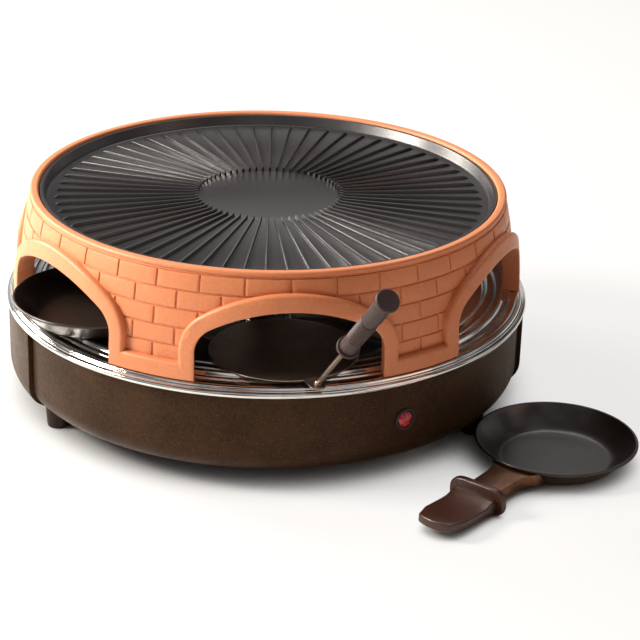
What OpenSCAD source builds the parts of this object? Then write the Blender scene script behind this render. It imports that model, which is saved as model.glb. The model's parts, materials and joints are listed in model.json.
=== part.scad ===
// Electric table-top pizza maker: a round heated base with a steel baking tray, a
// terracotta ring with six arched openings, a ribbed grill plate on top, two small
// handled pans and a spatula. Millimetres, Z up. The origin lies on the table under
// the centre of the base, and -Y points out through the front opening.
// Azimuths are in degrees from -Y towards +X.

/* [Base] */
// Outer radius of the base shell's side
base_r = 205; // [202:0.5:206]
// Height of the base shell, from its underside to the tray's rolled edge
base_h = 65.5; // [58:0.5:75]
// Sheet thickness of the base shell
base_wall = 1.5; // [1:0.1:2]
// Radius of the rounded lower edge of the base shell
base_fillet = 19; // [14:0.5:22]
// How far the opening in the base shell's underside lies inside its side
base_hole_inset = 57; // [53:1:65]
// How far the two side grips stand out of the base shell
grip_proud = 3.5; // [2:0.1:3.5]
// Azimuth of the middle of the right grip; the left one lies opposite
grip_az = 94; // [90:1:100]
// Angle that each side grip takes up
grip_angle = 38; // [24:1:54]
// Width of the inward flange at the top of the base shell
base_flange_w = 10; // [8:0.5:12]

/* [Feet] */
// Height of the base shell's underside above the table
foot_h = 14; // [11:0.5:18]
// Diameter of a foot at the table
foot_sole_d = 16; // [14:0.5:17]
// Diameter of a foot where it meets the base shell
foot_top_d = 18.6; // [17:0.1:20]
// How far the circle of the feet lies inside the base shell's side
foot_inset = 17; // [16:0.5:21]
// Azimuth of the first foot
foot_az = 55; // [50:1:60]
// Number of feet
foot_count = 3; // [3:1:4]

/* [Bottom cover] */
// How far the bottom cover laps over the edge of the shell's opening
cover_lap = 10; // [8:0.5:17]
// Thickness of the bottom cover
cover_t = 1.2; // [0.8:0.1:1.6]
// Number of cover screws
cover_screw_count = 6; // [4:1:8]
// Number of ventilation slots in each ring of slots
vent_count = 24; // [12:1:30]
// Length of a ventilation slot
vent_l = 24; // [15:1:28]
// Width of a ventilation slot
vent_w = 3; // [2:0.5:4]

/* [Baking tray] */
// How far the tray's rolled edge stands out past the base shell
rim_over = 5; // [4.9:0.1:7]
// Radius of the rolled edge's round section
bead_r = 2.4; // [2:0.1:2.4]
// Sheet thickness of the tray
tray_t = 1.2; // [0.8:0.1:1.4]
// Height of the ring's seat above the rolled edge's underside
seat_rise = 7.9; // [7:0.1:9]
// Height of the baking floor above the ring's seat
floor_rise = 3.5; // [3:0.1:4.5]
// Gap between the baking floor and the ring's legs
floor_gap = 1; // [0.8:0.1:3]

/* [Terracotta ring] */
// Height of the terracotta ring
ring_h = 83.3; // [80:0.1:95]
// How far the ring's legs lie inside the tray's rolled edge
ring_inset = 5.8; // [5.5:0.1:7.5]
// How much smaller the lip's outer radius is than the legs'
ring_taper = 14.9; // [13.5:0.1:15.5]
// Width of the lip
lip_w = 7; // [6:0.1:7.5]
// Height of the lip band
lip_h = 9.5; // [8:0.1:11]
// How far the frames stand out of the brick panel
frame_proud = 5.6; // [4:0.1:6.2]
// Thickness of the wall behind the brick panel at the seat
ring_wall = 7; // [5:0.1:8]
// Number of arched openings
opening_count = 6; // [6:1:6]
// Half of the width of an opening
opening_half_w = 69.5; // [60:0.5:70]
// Height at which an opening's upright sides end, above the seat
spring_h = 21.5; // [15:0.5:23]
// Height of the arch above its upright sides
arch_rise = 34.5; // [28:0.5:35]
// Radius of the arch's corners
arch_corner_r = 22; // [18:0.5:24]
// Width of the frame beside an opening
frame_side = 8.5; // [6:0.5:10]
// Width of the frame above an opening
frame_top = 10; // [8:0.5:12]
// Height of the band along a leg's foot
band_h = 11; // [8:0.5:14]
// Width of the ledge that carries the grill plate
ledge_w = 9.6; // [6:0.2:13.6]
// Height of the ledge
ledge_h = 8; // [5:0.5:9]

/* [Grill plate] */
// Depth of the grill plate's floor below the lip
plate_depth = 10; // [8:0.5:12]
// Thickness of the grill plate's floor
plate_t = 4.2; // [3.5:0.1:5]
// Thickness of the grill plate's upright edge
plate_edge_t = 3.5; // [2.5:0.1:4.5]
// Height of the upright edge above the floor
plate_edge_h = 8.4; // [7:0.1:8.5]
// Number of ribs
rib_count = 64; // [40:1:72]
// Width of a rib
rib_w = 2.4; // [1.8:0.1:3]
// Height of a rib
rib_h = 2.3; // [1.5:0.1:3]
// Radius at which the ribs start
rib_in_r = 58; // [50:0.5:62]
// How far the ribs end inside the plate's edge
rib_margin = 9; // [8:0.5:30]

/* [Heating] */
// Radius of the heating elements' tube
tube_r = 3.3; // [3:0.1:3.5]
// Radius of the outer turn of the upper element
upper_out_r = 125; // [110:1:130]
// Radius of the inner turn of the upper element
upper_in_r = 72; // [65:1:80]
// Radius of the outer turn of the lower element
lower_out_r = 140; // [125:1:150]
// Radius of the inner turn of the lower element
lower_in_r = 80; // [70:1:90]
// Outer radius of the central column
column_r = 19; // [17:0.5:22]
// Wall of the central column
column_wall = 1.5; // [1:0.1:2]
// Gap between the grill plate and the top of the upper element
upper_gap = 2.4; // [2:0.1:3]
// Thickness of the spider's plate
spider_t = 2.5; // [2:0.1:3]
// Thickness of the reflector's sheet
reflector_t = 0.8; // [0.5:0.1:1]
// Depth of the reflector
reflector_depth = 17; // [14:0.5:20]
// Diameter of the centre stud
stud_d = 8; // [6:0.5:8]

/* [Pilot lamp and cord inlet] */
// Azimuth of the pilot lamp
lamp_az = 25.3; // [15:0.1:35]
// Depth of the pilot lamp's centre below the tray's rolled edge
lamp_drop = 29.5; // [27:0.5:36]
// Diameter of the lens
lens_d = 12.8; // [11:0.1:13.4]
// How far the lens stands out of its bezel
lens_dome = 3.2; // [2:0.1:4]
// Azimuth of the cord inlet
inlet_az = 150; // [140:1:158]
// Height of the cord inlet above the base shell's underside
inlet_h = 26; // [23:0.5:30]
// Diameter of the bore for the supply cord
inlet_bore_d = 7.2; // [6.5:0.1:8]
// Length of the cord inlet's bush
inlet_l = 20; // [16:0.5:24]

/* [Pans] */
// Outer radius of a pan's rim
pan_r = 63; // [58:0.1:63.5]
// Height of a pan
pan_h = 18.5; // [14:0.5:20]
// Radius of a pan's floor
pan_floor_r = 44; // [40:0.5:46]
// Sheet thickness of a pan
pan_t = 1.5; // [1:0.1:2]
// Distance from a pan's centre to its handle's guard
guard_x = 104; // [98:0.5:106]
// Thickness of the guard
guard_t = 6; // [4:0.5:7]
// Width of the guard
guard_w = 47.5; // [42:0.5:50]
// Height of the guard
guard_h = 21; // [20:0.5:24]
// Length of the paddle outside the guard
paddle_l = 56; // [48:0.5:60]
// Width of the paddle
paddle_w = 36; // [30:0.5:38]
// Thickness of the paddle
paddle_t = 7; // [5:0.5:8]
// Width of the bracket at the guard
bracket_w = 25; // [20:0.5:28]
// How far the oven pan's centre lies inside the ring's legs
oven_pan_inset = 44.5; // [42.5:0.5:46.5]
// Azimuth of the oven pan
oven_pan_az = -61.3; // [-61.5:0.1:-58.5]
// Azimuth that the oven pan's handle points to
oven_handle_az = 138.5; // [136:0.5:140]
// How far the table pan's centre lies outside the base shell's side
table_pan_out = 58.5; // [58.5:0.5:70]
// Azimuth of the table pan
table_pan_az = 53; // [45:0.5:55]
// Azimuth that the table pan's handle points to
table_handle_az = -44; // [-50:0.5:-30]

/* [Spatula] */
// Radius of the blade
blade_r = 56.5; // [50:0.5:58]
// Thickness of the blade
blade_t = 1.2; // [1:0.1:1.5]
// How far the blade's centre lies inside the ring's legs
blade_inset = 57.2; // [56:0.1:66.5]
// Azimuth that the spatula's handle points to
handle_az = 15.7; // [10:0.1:22]
// Distance from the blade's centre to the foot of the rod
rod_foot_x = 68; // [66:0.5:70]
// Angle at which the rod rises
rod_rise = 44; // [40:0.5:50]
// Diameter of the rod
rod_d = 3.6; // [3:0.1:4]
// Length of the rod and grip together
spatula_l = 161.5; // [140:0.5:170]
// Length of the grip
grip_l = 86; // [70:1:95]
// Diameter of the grip
grip_d = 13.4; // [11:0.1:14]
// Diameter of the collar below the grip
collar_d = 17; // [15:0.1:18]
// Number of ribs around the grip
grip_ribs = 9; // [5:1:11]

/* [Hidden] */
$fn = 96;

// Shared clearances and fasteners
rest_gap = 0.3;          // between pieces that lift or slide apart
fit_gap = 0.2;           // around screws, bushes and lenses
cut = 1;                 // how far cutters run past a face
screw_r = 2;
screw_head_r = 3.8;
screw_head_h = 2.2;
nut_h = 4;

// Radii that follow from the base's
rim_r = base_r + rim_over;
ring_foot_r = rim_r - ring_inset;
lip_r = ring_foot_r - ring_taper;
floor_r = ring_foot_r - frame_proud - ring_wall - floor_gap;
base_hole_r = base_r - base_hole_inset;
cover_r = base_hole_r + cover_lap;
foot_circle_r = base_r - foot_inset;
oven_pan_x = ring_foot_r - oven_pan_inset;
table_pan_x = base_r + table_pan_out;
blade_x = ring_foot_r - blade_inset;

// Heights of the base
rim_z = foot_h + base_h;
seat_z = rim_z + seat_rise;
floor_z = seat_z + floor_rise;
tray_edge_drop = 0.9;    // how far the tray's outermost ring lies below the seat, before its step down
shell_top_z = seat_z - tray_edge_drop - tray_t - reflector_t;
shell_inner_r = base_r - base_wall;
shell_floor_z = foot_h + base_wall;
flange_r = base_r - base_flange_w;
grip_top_z = rim_z - rest_gap;
grip_wall_angle = 0.45;  // angle that the grip's end wall takes up
cover_z = foot_h - cover_t;
cover_screw_r = (base_hole_r + cover_r) / 2;
foot_counterbore = 5;
foot_nut_z = shell_floor_z + 1.2;
vent_in_r = 64;
vent_step = 40;

// Tray
groove_depth = 0.5;
groove_radii = [floor_r - 16.5, floor_r - 7.5];
ridge_h = 1.2;           // the ridge that the ring is centred on
ridge_r = floor_r + 4.6;
ridge_w = 1.2;

// Terracotta ring
ring_z = seat_z + rest_gap;
ring_top_z = seat_z + ring_h;
lip_z = ring_top_z - lip_h;
lip_edge_r = 3;
panel_foot_r = ring_foot_r - frame_proud;
panel_top_r = lip_r + 1;
plate_top_z = ring_top_z - plate_depth;
ledge_z = plate_top_z - plate_t - rest_gap;
plate_seat_r = lip_r - lip_w;
ledge_r = plate_seat_r - ledge_w;
skin_depth = 2;          // how deep the frames reach into the wall
arch_top = spring_h + arch_rise;

// Grill plate
plate_r = plate_seat_r - 0.6;
rib_out_r = plate_r - rib_margin;
tooth_r = 1.5;
tooth_h = rib_h + 0.8;

// Heating
upper_z = ledge_z + rest_gap - upper_gap - tube_r;
spider_z = upper_z - tube_r - spider_t;
column_foot_r = 32;
column_foot_t = 2.5;
column_spigot_h = 8;
column_z = floor_z + column_foot_t;
lower_z = floor_z - tray_t - 0.3 - tube_r;
reflector_z = shell_top_z + reflector_t - reflector_depth;
reflector_r = base_r - 21;
lead_r = 12;             // radius at which the elements' ends turn down
lead_angle = 60;
clip_w = 9;
stud_r = stud_d / 2;
stud_top_z = spider_z + spider_t + nut_h + 2;
upper_turns = [upper_in_r, upper_out_r];
lower_turns = [lower_in_r, lower_out_r];
clip_angles = [105, 195, 285];
arm_count = 3;

// Pilot lamp and cord inlet
lamp_z = rim_z - lamp_drop;
bezel_wall = 1;
bezel_flange_w = 2;
bezel_flange_t = 1.6;
bezel_l = 10;
inlet_z = foot_h + inlet_h;
inlet_wall = 3.2;
inlet_flange_t = 3;
gland_nut_t = 5;

// Pans and spatula
bead_pan_r = 1.3;
pan_wall_foot_z = 2.2;
bracket_t = 1.5;
bracket_h = 9;
bracket_flare_w = 40;
bracket_top_z = pan_h - 3.5;
paddle_z = bracket_top_z - 4 - paddle_t / 2;
paddle_tilt = 4;
guard_corner_r = 8;
rivet_r = 2;
oven_pan_z = floor_z + rest_gap;
blade_z = floor_z + rest_gap;
grip_start = spatula_l - grip_l;
collar_t = 3;
cap_t = 4;

// A point at a distance from the axis and an azimuth
function at_az(r, az, z = 0) = [r * sin(az), -r * cos(az), z];
// Outer radius of the brick panel at a height: it curves in towards the lip
function panel_r(z) = panel_foot_r + (panel_top_r - panel_foot_r) * ((z - seat_z) / (lip_z - seat_z)) ^ 2;
// Points of the panel's outer line, moved out by a distance, from one height to another
function panel_line(z0, z1, out, steps) =
    [for (i = [0 : steps]) let (z = z0 + (z1 - z0) * i / steps) [panel_r(max(z, seat_z)) + out, z]];
// Radius of the long middle arc of a three-centred arch
function crown_r(half_w, rise, corner) =
    ((half_w - corner) ^ 2 + rise ^ 2 - corner ^ 2) / (2 * (rise - corner));
// A sheet's section: its top line, and the same line lowered by its thickness
function sheet(points, t) =
    concat(points, [for (i = [len(points) - 1 : -1 : 0]) [points[i][0], points[i][1] - t]]);

// Places its children on the base's side, their Z pointing outwards
module on_side(az, r, z) {
    rotate([0, 0, az]) translate([0, -r, z]) rotate([90, 0, 0]) children();
}

// Places its children round the axis, their -Y pointing outwards
module around(azimuths, r = 0) {
    for (az = azimuths) rotate([0, 0, az]) translate([0, -r, 0]) children();
}

// Points of a bend that rounds off the corner at b, starting and ending at a distance from it
function bend(a, b, c, distance) =
    let (from = b + distance * unit(a - b), to = b + distance * unit(c - b))
    [for (t = [0 : 0.25 : 1]) (1 - t) ^ 2 * from + 2 * t * (1 - t) * b + t ^ 2 * to];
function unit(v) = v / norm(v);
function polar(r, a, z) = [r * cos(a), r * sin(a), z];
function heading(path, i) = unit(path[min(i + 1, len(path) - 1)] - path[max(i - 1, 0)]);
// A vector square to the path at each point, carried along so that the tube isn't twisted
function sideways(path, i = 0, last = [0.6, 0.8, 0.01]) =
    i >= len(path) ? [] :
    let (h = heading(path, i), s = unit(last - (last * h) * h)) concat([s], sideways(path, i + 1, s));

// A closed tube along a path
module tube(path, r, sides) {
    across = sideways(path);
    points = [for (i = [0 : len(path) - 1], k = [0 : sides - 1])
        let (a = k * 360 / sides)
            path[i] + r * (cos(a) * across[i] + sin(a) * cross(heading(path, i), across[i]))];
    walls = [for (i = [0 : len(path) - 2], k = [0 : sides - 1])
        let (n = (k + 1) % sides, p = i * sides, q = p + sides)
            each [[p + k, q + k, p + n], [p + n, q + k, q + n]]];
    last = (len(path) - 1) * sides;
    caps = [[for (k = [0 : sides - 1]) k], [for (k = [sides - 1 : -1 : 0]) last + k]];
    polyhedron(points, concat(walls, caps));
}

// Half section of the base's outer form, with its rounded lower edge
module base_section(r, z0, z1, fillet) {
    translate([0, z0]) square([r - fillet, z1 - z0]);
    translate([0, z0 + fillet]) square([r, z1 - z0 - fillet]);
    translate([r - fillet, z0 + fillet]) circle(fillet);
}

// A wedge of the base's outer form, centred on an azimuth
module base_wedge(az, angle, r, z0, z1, fillet) {
    rotate([0, 0, az - 90 - angle / 2])
        rotate_extrude(angle = angle)
            intersection() {
                base_section(r, z0, z1, fillet);
                translate([0, z0]) square([r + cut, z1 - z0]);
            }
}

module base_form(r, z0, z1, fillet) {
    rotate_extrude() intersection() {
        base_section(r, z0, z1, fillet);
        translate([0, z0]) square([r + cut, z1 - z0]);
    }
}

grip_azimuths = [grip_az - 180, grip_az];
foot_azimuths = [for (i = [0 : foot_count - 1]) foot_az + i * 360 / foot_count];
cover_azimuths = [for (i = [0 : cover_screw_count - 1]) (i + 0.5) * 360 / cover_screw_count];

module base_shell() {
    color([0.17, 0.12, 0.08]) difference() {
        union() {
            base_form(base_r, foot_h, shell_top_z, base_fillet);
            for (az = grip_azimuths)
                base_wedge(az, grip_angle, base_r + grip_proud, foot_h, grip_top_z, base_fillet);
        }
        base_form(shell_inner_r, shell_floor_z, shell_top_z - base_wall, base_fillet - base_wall);
        for (az = grip_azimuths)
            base_wedge(az, grip_angle - 2 * grip_wall_angle, shell_inner_r + grip_proud,
                shell_floor_z, grip_top_z - base_wall, base_fillet - base_wall);
        translate([0, 0, shell_top_z - base_wall - cut]) cylinder(h = base_wall + 2 * cut, r = flange_r);
        translate([0, 0, foot_h - cut]) cylinder(h = base_wall + 2 * cut, r = base_hole_r);
        around(foot_azimuths, foot_circle_r)
            translate([0, 0, foot_h - cut]) cylinder(h = 10, r = screw_r + fit_gap);
        around(cover_azimuths, cover_screw_r)
            translate([0, 0, foot_h - cut]) cylinder(h = 10, r = screw_r + fit_gap);
        on_side(lamp_az, base_r, lamp_z)
            translate([0, 0, -10]) cylinder(h = 20, d = lens_d + 2 * (bezel_wall + 2 * fit_gap));
        on_side(inlet_az, base_r, inlet_z)
            translate([0, 0, -10]) cylinder(h = 20, d = inlet_bore_d + 2 * (inlet_wall + fit_gap));
    }
}

module bottom_cover() {
    color([0.62, 0.63, 0.64]) difference() {
        translate([0, 0, cover_z]) cylinder(h = cover_t, r = cover_r);
        translate([0, 0, cover_z - cut]) cylinder(h = cover_t + 2 * cut, r = stud_r + fit_gap);
        around(cover_azimuths, cover_screw_r)
            translate([0, 0, cover_z - cut]) cylinder(h = cover_t + 2 * cut, r = screw_r + fit_gap);
        for (ring = [0, 1])
            around([for (i = [0 : vent_count - 1]) (i + 0.5) * 360 / vent_count])
                translate([-vent_w / 2, -vent_in_r - ring * vent_step - vent_l, cover_z - cut])
                    cube([vent_w, vent_l, cover_t + 2 * cut]);
    }
}

module feet() {
    color([0.2, 0.11, 0.06]) difference() {
        around(foot_azimuths, foot_circle_r)
            cylinder(h = foot_h + base_fillet / 2, d1 = foot_sole_d, d2 = foot_top_d);
        base_form(base_r + 0.05, foot_h - 0.05, shell_top_z, base_fillet);
        for (az = grip_azimuths)
            base_wedge(az, grip_angle + 0.1, base_r + grip_proud + 0.05, foot_h - 0.05,
                grip_top_z, base_fillet);
        around(foot_azimuths, foot_circle_r) {
            translate([0, 0, -cut]) cylinder(h = foot_h + 10, r = screw_r + fit_gap);
            translate([0, 0, -cut]) cylinder(h = foot_counterbore + cut, r = screw_head_r + 0.7);
        }
    }
}

// A pan-head screw whose head lies below the origin and whose shank rises from it
module screw(shank) {
    translate([0, 0, -screw_head_h]) cylinder(h = screw_head_h, r = screw_head_r);
    cylinder(h = shank, r = screw_r);
}

module foot_screws() {
    color([0.7, 0.7, 0.7]) around(foot_azimuths, foot_circle_r)
        translate([0, 0, foot_counterbore]) screw(foot_nut_z + nut_h - foot_counterbore + 1);
}

module foot_nuts() {
    color([0.7, 0.7, 0.7]) around(foot_azimuths, foot_circle_r)
        translate([0, 0, foot_nut_z]) difference() {
            cylinder(h = nut_h, r = 3.8, $fn = 6);
            translate([0, 0, -cut]) cylinder(h = nut_h + 2 * cut, r = screw_r);
        }
}

module cover_screws() {
    color([0.7, 0.7, 0.7]) around(cover_azimuths, cover_screw_r)
        translate([0, 0, cover_z]) screw(8);
}

module cord_gland() {
    barrel_r = inlet_bore_d / 2 + inlet_wall;
    nose_l = inlet_l / 2 - inlet_flange_t;
    color([0.06, 0.06, 0.06]) on_side(inlet_az, base_r, inlet_z) difference() {
        union() {
            translate([0, 0, -inlet_l / 2]) cylinder(h = inlet_l / 2, r = barrel_r);
            translate([0, 0, 0.3]) cylinder(h = inlet_flange_t, r = barrel_r + 2.6);
            cylinder(h = 0.4, r = barrel_r);
            translate([0, 0, inlet_flange_t])
                cylinder(h = nose_l, r1 = barrel_r, r2 = inlet_bore_d / 2 + 1.5);
        }
        translate([0, 0, -inlet_l / 2 - cut]) cylinder(h = inlet_l + 2 * cut, d = inlet_bore_d);
    }
}

module gland_nut() {
    barrel_r = inlet_bore_d / 2 + inlet_wall;
    color([0.1, 0.1, 0.1]) on_side(inlet_az, base_r, inlet_z)
        translate([0, 0, -base_wall - 0.4 - gland_nut_t]) difference() {
            cylinder(h = gland_nut_t, r = barrel_r + 3.4, $fn = 6);
            translate([0, 0, -cut]) cylinder(h = gland_nut_t + 2 * cut, r = barrel_r);
        }
}

module pilot_bezel() {
    bore_r = lens_d / 2 + fit_gap;
    color([0.06, 0.05, 0.05]) on_side(lamp_az, base_r, lamp_z) difference() {
        union() {
            cylinder(h = bezel_flange_t, r = bore_r + bezel_flange_w);
            translate([0, 0, -bezel_l]) cylinder(h = bezel_l + 0.5, r = bore_r + bezel_wall);
        }
        translate([0, 0, -bezel_l - cut]) cylinder(h = bezel_l + bezel_flange_t + 2 * cut, r = bore_r);
    }
}

module pilot_lens() {
    sphere_r = (lens_d ^ 2 / 4 + lens_dome ^ 2) / (2 * lens_dome);
    color([0.65, 0.03, 0.05]) on_side(lamp_az, base_r, lamp_z) {
        translate([0, 0, -5]) cylinder(h = 5.8, d = lens_d);
        intersection() {
            translate([0, 0, 0.8 + lens_dome - sphere_r]) sphere(sphere_r);
            translate([0, 0, 0.8]) cylinder(h = lens_dome + cut, d = lens_d);
        }
    }
}

module pilot_lamp_holder() {
    color([0.85, 0.82, 0.75]) on_side(lamp_az, base_r, lamp_z) {
        translate([0, 0, -22]) cylinder(h = 16.8, d = lens_d - 0.4);
        for (side = [-1, 1]) translate([side * 2.6 - 0.4, -1.5, -30]) cube([0.8, 3, 9]);
    }
}

module heat_reflector() {
    top = shell_top_z + reflector_t;
    color([0.75, 0.75, 0.76]) difference() {
        rotate_extrude() polygon(sheet([[0, reflector_z], [reflector_r - 2, reflector_z],
            [reflector_r, reflector_z + 2], [reflector_r + 8, top], [base_r - 0.4, top]],
            reflector_t));
        translate([0, 0, reflector_z - 5]) cylinder(h = 10, r = stud_r + fit_gap);
        for (az = [0, lead_angle])
            rotate([0, 0, az]) translate([lead_r * 2, 0, reflector_z - 5]) cylinder(h = 10, r = tube_r + 1.5);
    }
}

module baking_tray() {
    z = seat_z;
    color([0.8, 0.8, 0.82]) difference() {
        union() {
            rotate_extrude() translate([rim_r - bead_r, rim_z + bead_r]) circle(bead_r);
            rotate_extrude() polygon(sheet(concat([[0, floor_z]],
                [for (r = groove_radii, side = [-1, 1], x = [1.5 - side * 0.5, 1.5 + side * 0.5])
                    [r + side * x, x > 1.5 ? floor_z : floor_z - groove_depth]],
                [[floor_r - 1, floor_z], [floor_r, floor_z - 0.7],
                [floor_r + 1.6, z + 0.6], [ridge_r - ridge_w / 2 - 1, z + 0.3],
                [ridge_r - ridge_w / 2, z + ridge_h], [ridge_r + ridge_w / 2, z + ridge_h],
                [ridge_r + ridge_w / 2 + 1, z - 0.3], [ridge_r + 3.4, z - 0.3], [ridge_r + 4.2, z],
                [rim_r - 7.2, z], [rim_r - 6.4, z - tray_edge_drop],
                [rim_r - 4.6, z - tray_edge_drop],
                [rim_r - bead_r - 0.6, rim_z + 2 * bead_r - 0.1]]), tray_t));
        }
        translate([0, 0, floor_z - 5]) cylinder(h = 10, r = stud_r + fit_gap);
    }
}

// A tube bent into two turns joined at one side, its ends turned down near the axis
function element_path(turns, end_r, z, end_z) =
    let (join = 330, b = tube_r * 2.7, step = 6, inset = 8,
        inner = turns[0], outer = turns[1])
    concat([polar(end_r, 0, end_z)],
        bend(polar(end_r, 0, end_z), polar(end_r, 0, z), polar(outer, 0, z), b),
        bend(polar(end_r, 0, z), polar(outer, 0, z), polar(outer, inset, z), b),
        [for (a = [inset : step : join - inset]) polar(outer, a, z)],
        bend(polar(outer, join - inset, z), polar(outer, join, z), polar(inner, join, z), b),
        bend(polar(outer, join, z), polar(inner, join, z), polar(inner, join - inset, z), b),
        [for (a = [join - 2 * inset : -step : lead_angle + 2 * inset]) polar(inner, a, z)],
        bend(polar(inner, lead_angle + inset, z), polar(inner, lead_angle, z), polar(end_r, lead_angle, z), b),
        bend(polar(inner, lead_angle, z), polar(end_r, lead_angle, z), polar(end_r, lead_angle, end_z), b),
        [polar(end_r, lead_angle, end_z)]);

// Blocks that hold an element's turns, with room for its tube
module element_clips(turns, z, z0, z1) {
    difference() {
        for (a = clip_angles, r = turns) rotate([0, 0, a])
            translate([r - clip_w / 2, -3, z0]) cube([clip_w, 6, z1 - z0]);
        for (r = turns) rotate_extrude() translate([r, z]) circle(tube_r + 0.1);
    }
}

module lower_element() {
    color([0.35, 0.33, 0.32]) tube(element_path(lower_turns, lead_r * 2, lower_z, reflector_z - 16), tube_r, 12);
}

module lower_element_clips() {
    color([0.7, 0.7, 0.7])
        element_clips(lower_turns, lower_z, lower_z - tube_r - 1.4, floor_z - tray_t);
}

thermostat_r = lower_turns[0] - 22;
block_r = lower_turns[0] - 5;
thermostat_at = at_az(thermostat_r, 200, reflector_z - reflector_t);
fuse_at = at_az(thermostat_r, 235, reflector_z - reflector_t);
block_at = at_az(block_r, 120, foot_h);
wire_r = 1.4;
wire_z = foot_h + 9.5;

module thermostat() {
    color([0.9, 0.88, 0.8]) translate(thermostat_at) {
        translate([0, 0, -9]) cylinder(h = 9, r = 8);
        for (side = [-1, 1]) translate([side * 4 - 0.4, -2.5, -16]) cube([0.8, 5, 8]);
    }
}

module thermal_fuse() {
    color([0.8, 0.8, 0.82]) translate(fuse_at) {
        translate([0, 0, -3]) rotate([90, 0, 0]) translate([0, 0, -8]) cylinder(h = 16, r = 2);
        translate([-3, -2, -5.4]) cube([6, 4, 5.4]);
    }
}

module terminal_block() {
    color([0.93, 0.93, 0.9]) translate(block_at) difference() {
        translate([-18, -9, 0]) cube([36, 18, 15]);
        for (x = [-12, 0, 12]) translate([x, 0, 6]) cylinder(h = 12, r = 2.4);
        for (x = [-12, 0, 12]) translate([x, -10, 4]) rotate([-90, 0, 0]) cylinder(h = 20, r = 1.8);
    }
}

// An insulated wire through a list of points, with its corners rounded
module lead(points) {
    last = len(points) - 1;
    path = concat([points[0]],
        [for (i = [1 : last - 1]) each bend(points[i - 1], points[i], points[i + 1], 2.5)], [points[last]]);
    tube(path, wire_r, 8);
}

module internal_leads() {
    block = block_at + [0, 9.2, 4];
    color([0.85, 0.35, 0.2]) {
        lead([block + [-12, 0, 0], block + [-12, 8, 0], [lead_r * 2, 2.5 * lead_r, wire_z],
            [lead_r * 2, 0, wire_z], [lead_r * 2, 0, reflector_z - 16.2]]);
        lead([block, block + [0, 14, 0], [thermostat_at[0] + 4, thermostat_at[1], wire_z + 6],
            thermostat_at + [4, 0, -16.2]]);
        lead([thermostat_at + [-4, 0, -16.2], thermostat_at + [-4, 0, -22],
            fuse_at + [0, 0, -14], fuse_at + [0, 0, -5.6]]);
        lead([block + [12, 0, 0], block + [12, 6, 0], at_az(foot_circle_r - 10, inlet_az, wire_z),
            at_az(base_r - inlet_l / 2 - 4, inlet_az, inlet_z)]);
    }
}

// Tubes on the centre stud that keep the cover, the reflector and the tray apart
module stud_spacers() {
    color([0.72, 0.72, 0.72]) for (z = [[foot_h, reflector_z - reflector_t], [reflector_z, floor_z - tray_t]])
        translate([0, 0, z[0]]) difference() {
            cylinder(h = z[1] - z[0], r = stud_r + 2.2);
            translate([0, 0, -cut]) cylinder(h = z[1] - z[0] + 2 * cut, r = stud_r + fit_gap);
        }
}

module column_foot() {
    color([0.78, 0.78, 0.8]) translate([0, 0, floor_z]) difference() {
        union() {
            cylinder(h = column_foot_t, r = column_foot_r);
            cylinder(h = column_foot_t + column_spigot_h, r = column_r - column_wall - 0.1);
        }
        translate([0, 0, -cut])
            cylinder(h = column_foot_t + column_spigot_h + 2 * cut, r = stud_r + fit_gap);
    }
}

module column_tube() {
    color([0.78, 0.78, 0.8]) translate([0, 0, column_z]) difference() {
        cylinder(h = spider_z - column_z, r = column_r);
        translate([0, 0, -cut]) cylinder(h = spider_z - column_z + 2 * cut, r = column_r - column_wall);
    }
}

module centre_stud() {
    color([0.7, 0.7, 0.7]) translate([0, 0, cover_z - nut_h - 2])
        cylinder(h = stud_top_z - cover_z + nut_h + 2, r = stud_r);
}

module stud_nuts() {
    color([0.7, 0.7, 0.7]) for (z = [cover_z - nut_h, spider_z + spider_t])
        translate([0, 0, z]) difference() {
            cylinder(h = nut_h, r = stud_r + 3.4, $fn = 6);
            translate([0, 0, -cut]) cylinder(h = nut_h + 2 * cut, r = stud_r);
        }
}

module element_spider() {
    arm_w = 9;
    color([0.6, 0.6, 0.6]) translate([0, 0, spider_z]) difference() {
        union() {
            cylinder(h = spider_t, r = column_r + 3);
            for (a = clip_angles) rotate([0, 0, a])
                translate([0, -arm_w / 2, 0]) cube([upper_out_r + clip_w, arm_w, spider_t]);
        }
        translate([0, 0, -cut]) cylinder(h = spider_t + 2 * cut, r = stud_r + fit_gap);
        for (az = [0, lead_angle]) rotate([0, 0, az])
            translate([lead_r + 1.3, 0, -cut]) cylinder(h = spider_t + 2 * cut, r = tube_r + 2.2);
    }
}

module upper_element() {
    color([0.35, 0.33, 0.32]) tube(element_path(upper_turns, lead_r, upper_z, column_z + 14), tube_r, 12);
}

module upper_element_clips() {
    color([0.7, 0.7, 0.7])
        element_clips(upper_turns, upper_z, spider_z + spider_t, upper_z + tube_r + 1.2);
}

// Outline of an arched opening: upright sides and a three-centred arch
module arch_outline(half_w, rise, corner) {
    r = crown_r(half_w, rise, corner);
    centre_x = half_w - corner;
    crown_y = spring_h + rise - r;
    reach = 2 * r / (spring_h - crown_y);
    translate([-half_w, -cut]) square([2 * half_w, spring_h + cut]);
    for (side = [-1, 1]) translate([side * centre_x, spring_h]) circle(corner);
    intersection() {
        translate([0, crown_y]) circle(r);
        polygon([[0, crown_y], [-centre_x * reach, crown_y + (spring_h - crown_y) * reach],
            [centre_x * reach, crown_y + (spring_h - crown_y) * reach]]);
    }
}

// The outlines of all openings, run outwards through the ring's wall
module arches(half_w, rise, corner) {
    start = lip_r - 40;
    end = base_r + 13.6;
    for (i = [0 : opening_count - 1])
        rotate([0, 0, i * 360 / opening_count]) translate([0, -start, seat_z]) rotate([90, 0, 0])
            linear_extrude(height = end - start) arch_outline(half_w, rise, corner);
}

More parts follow.
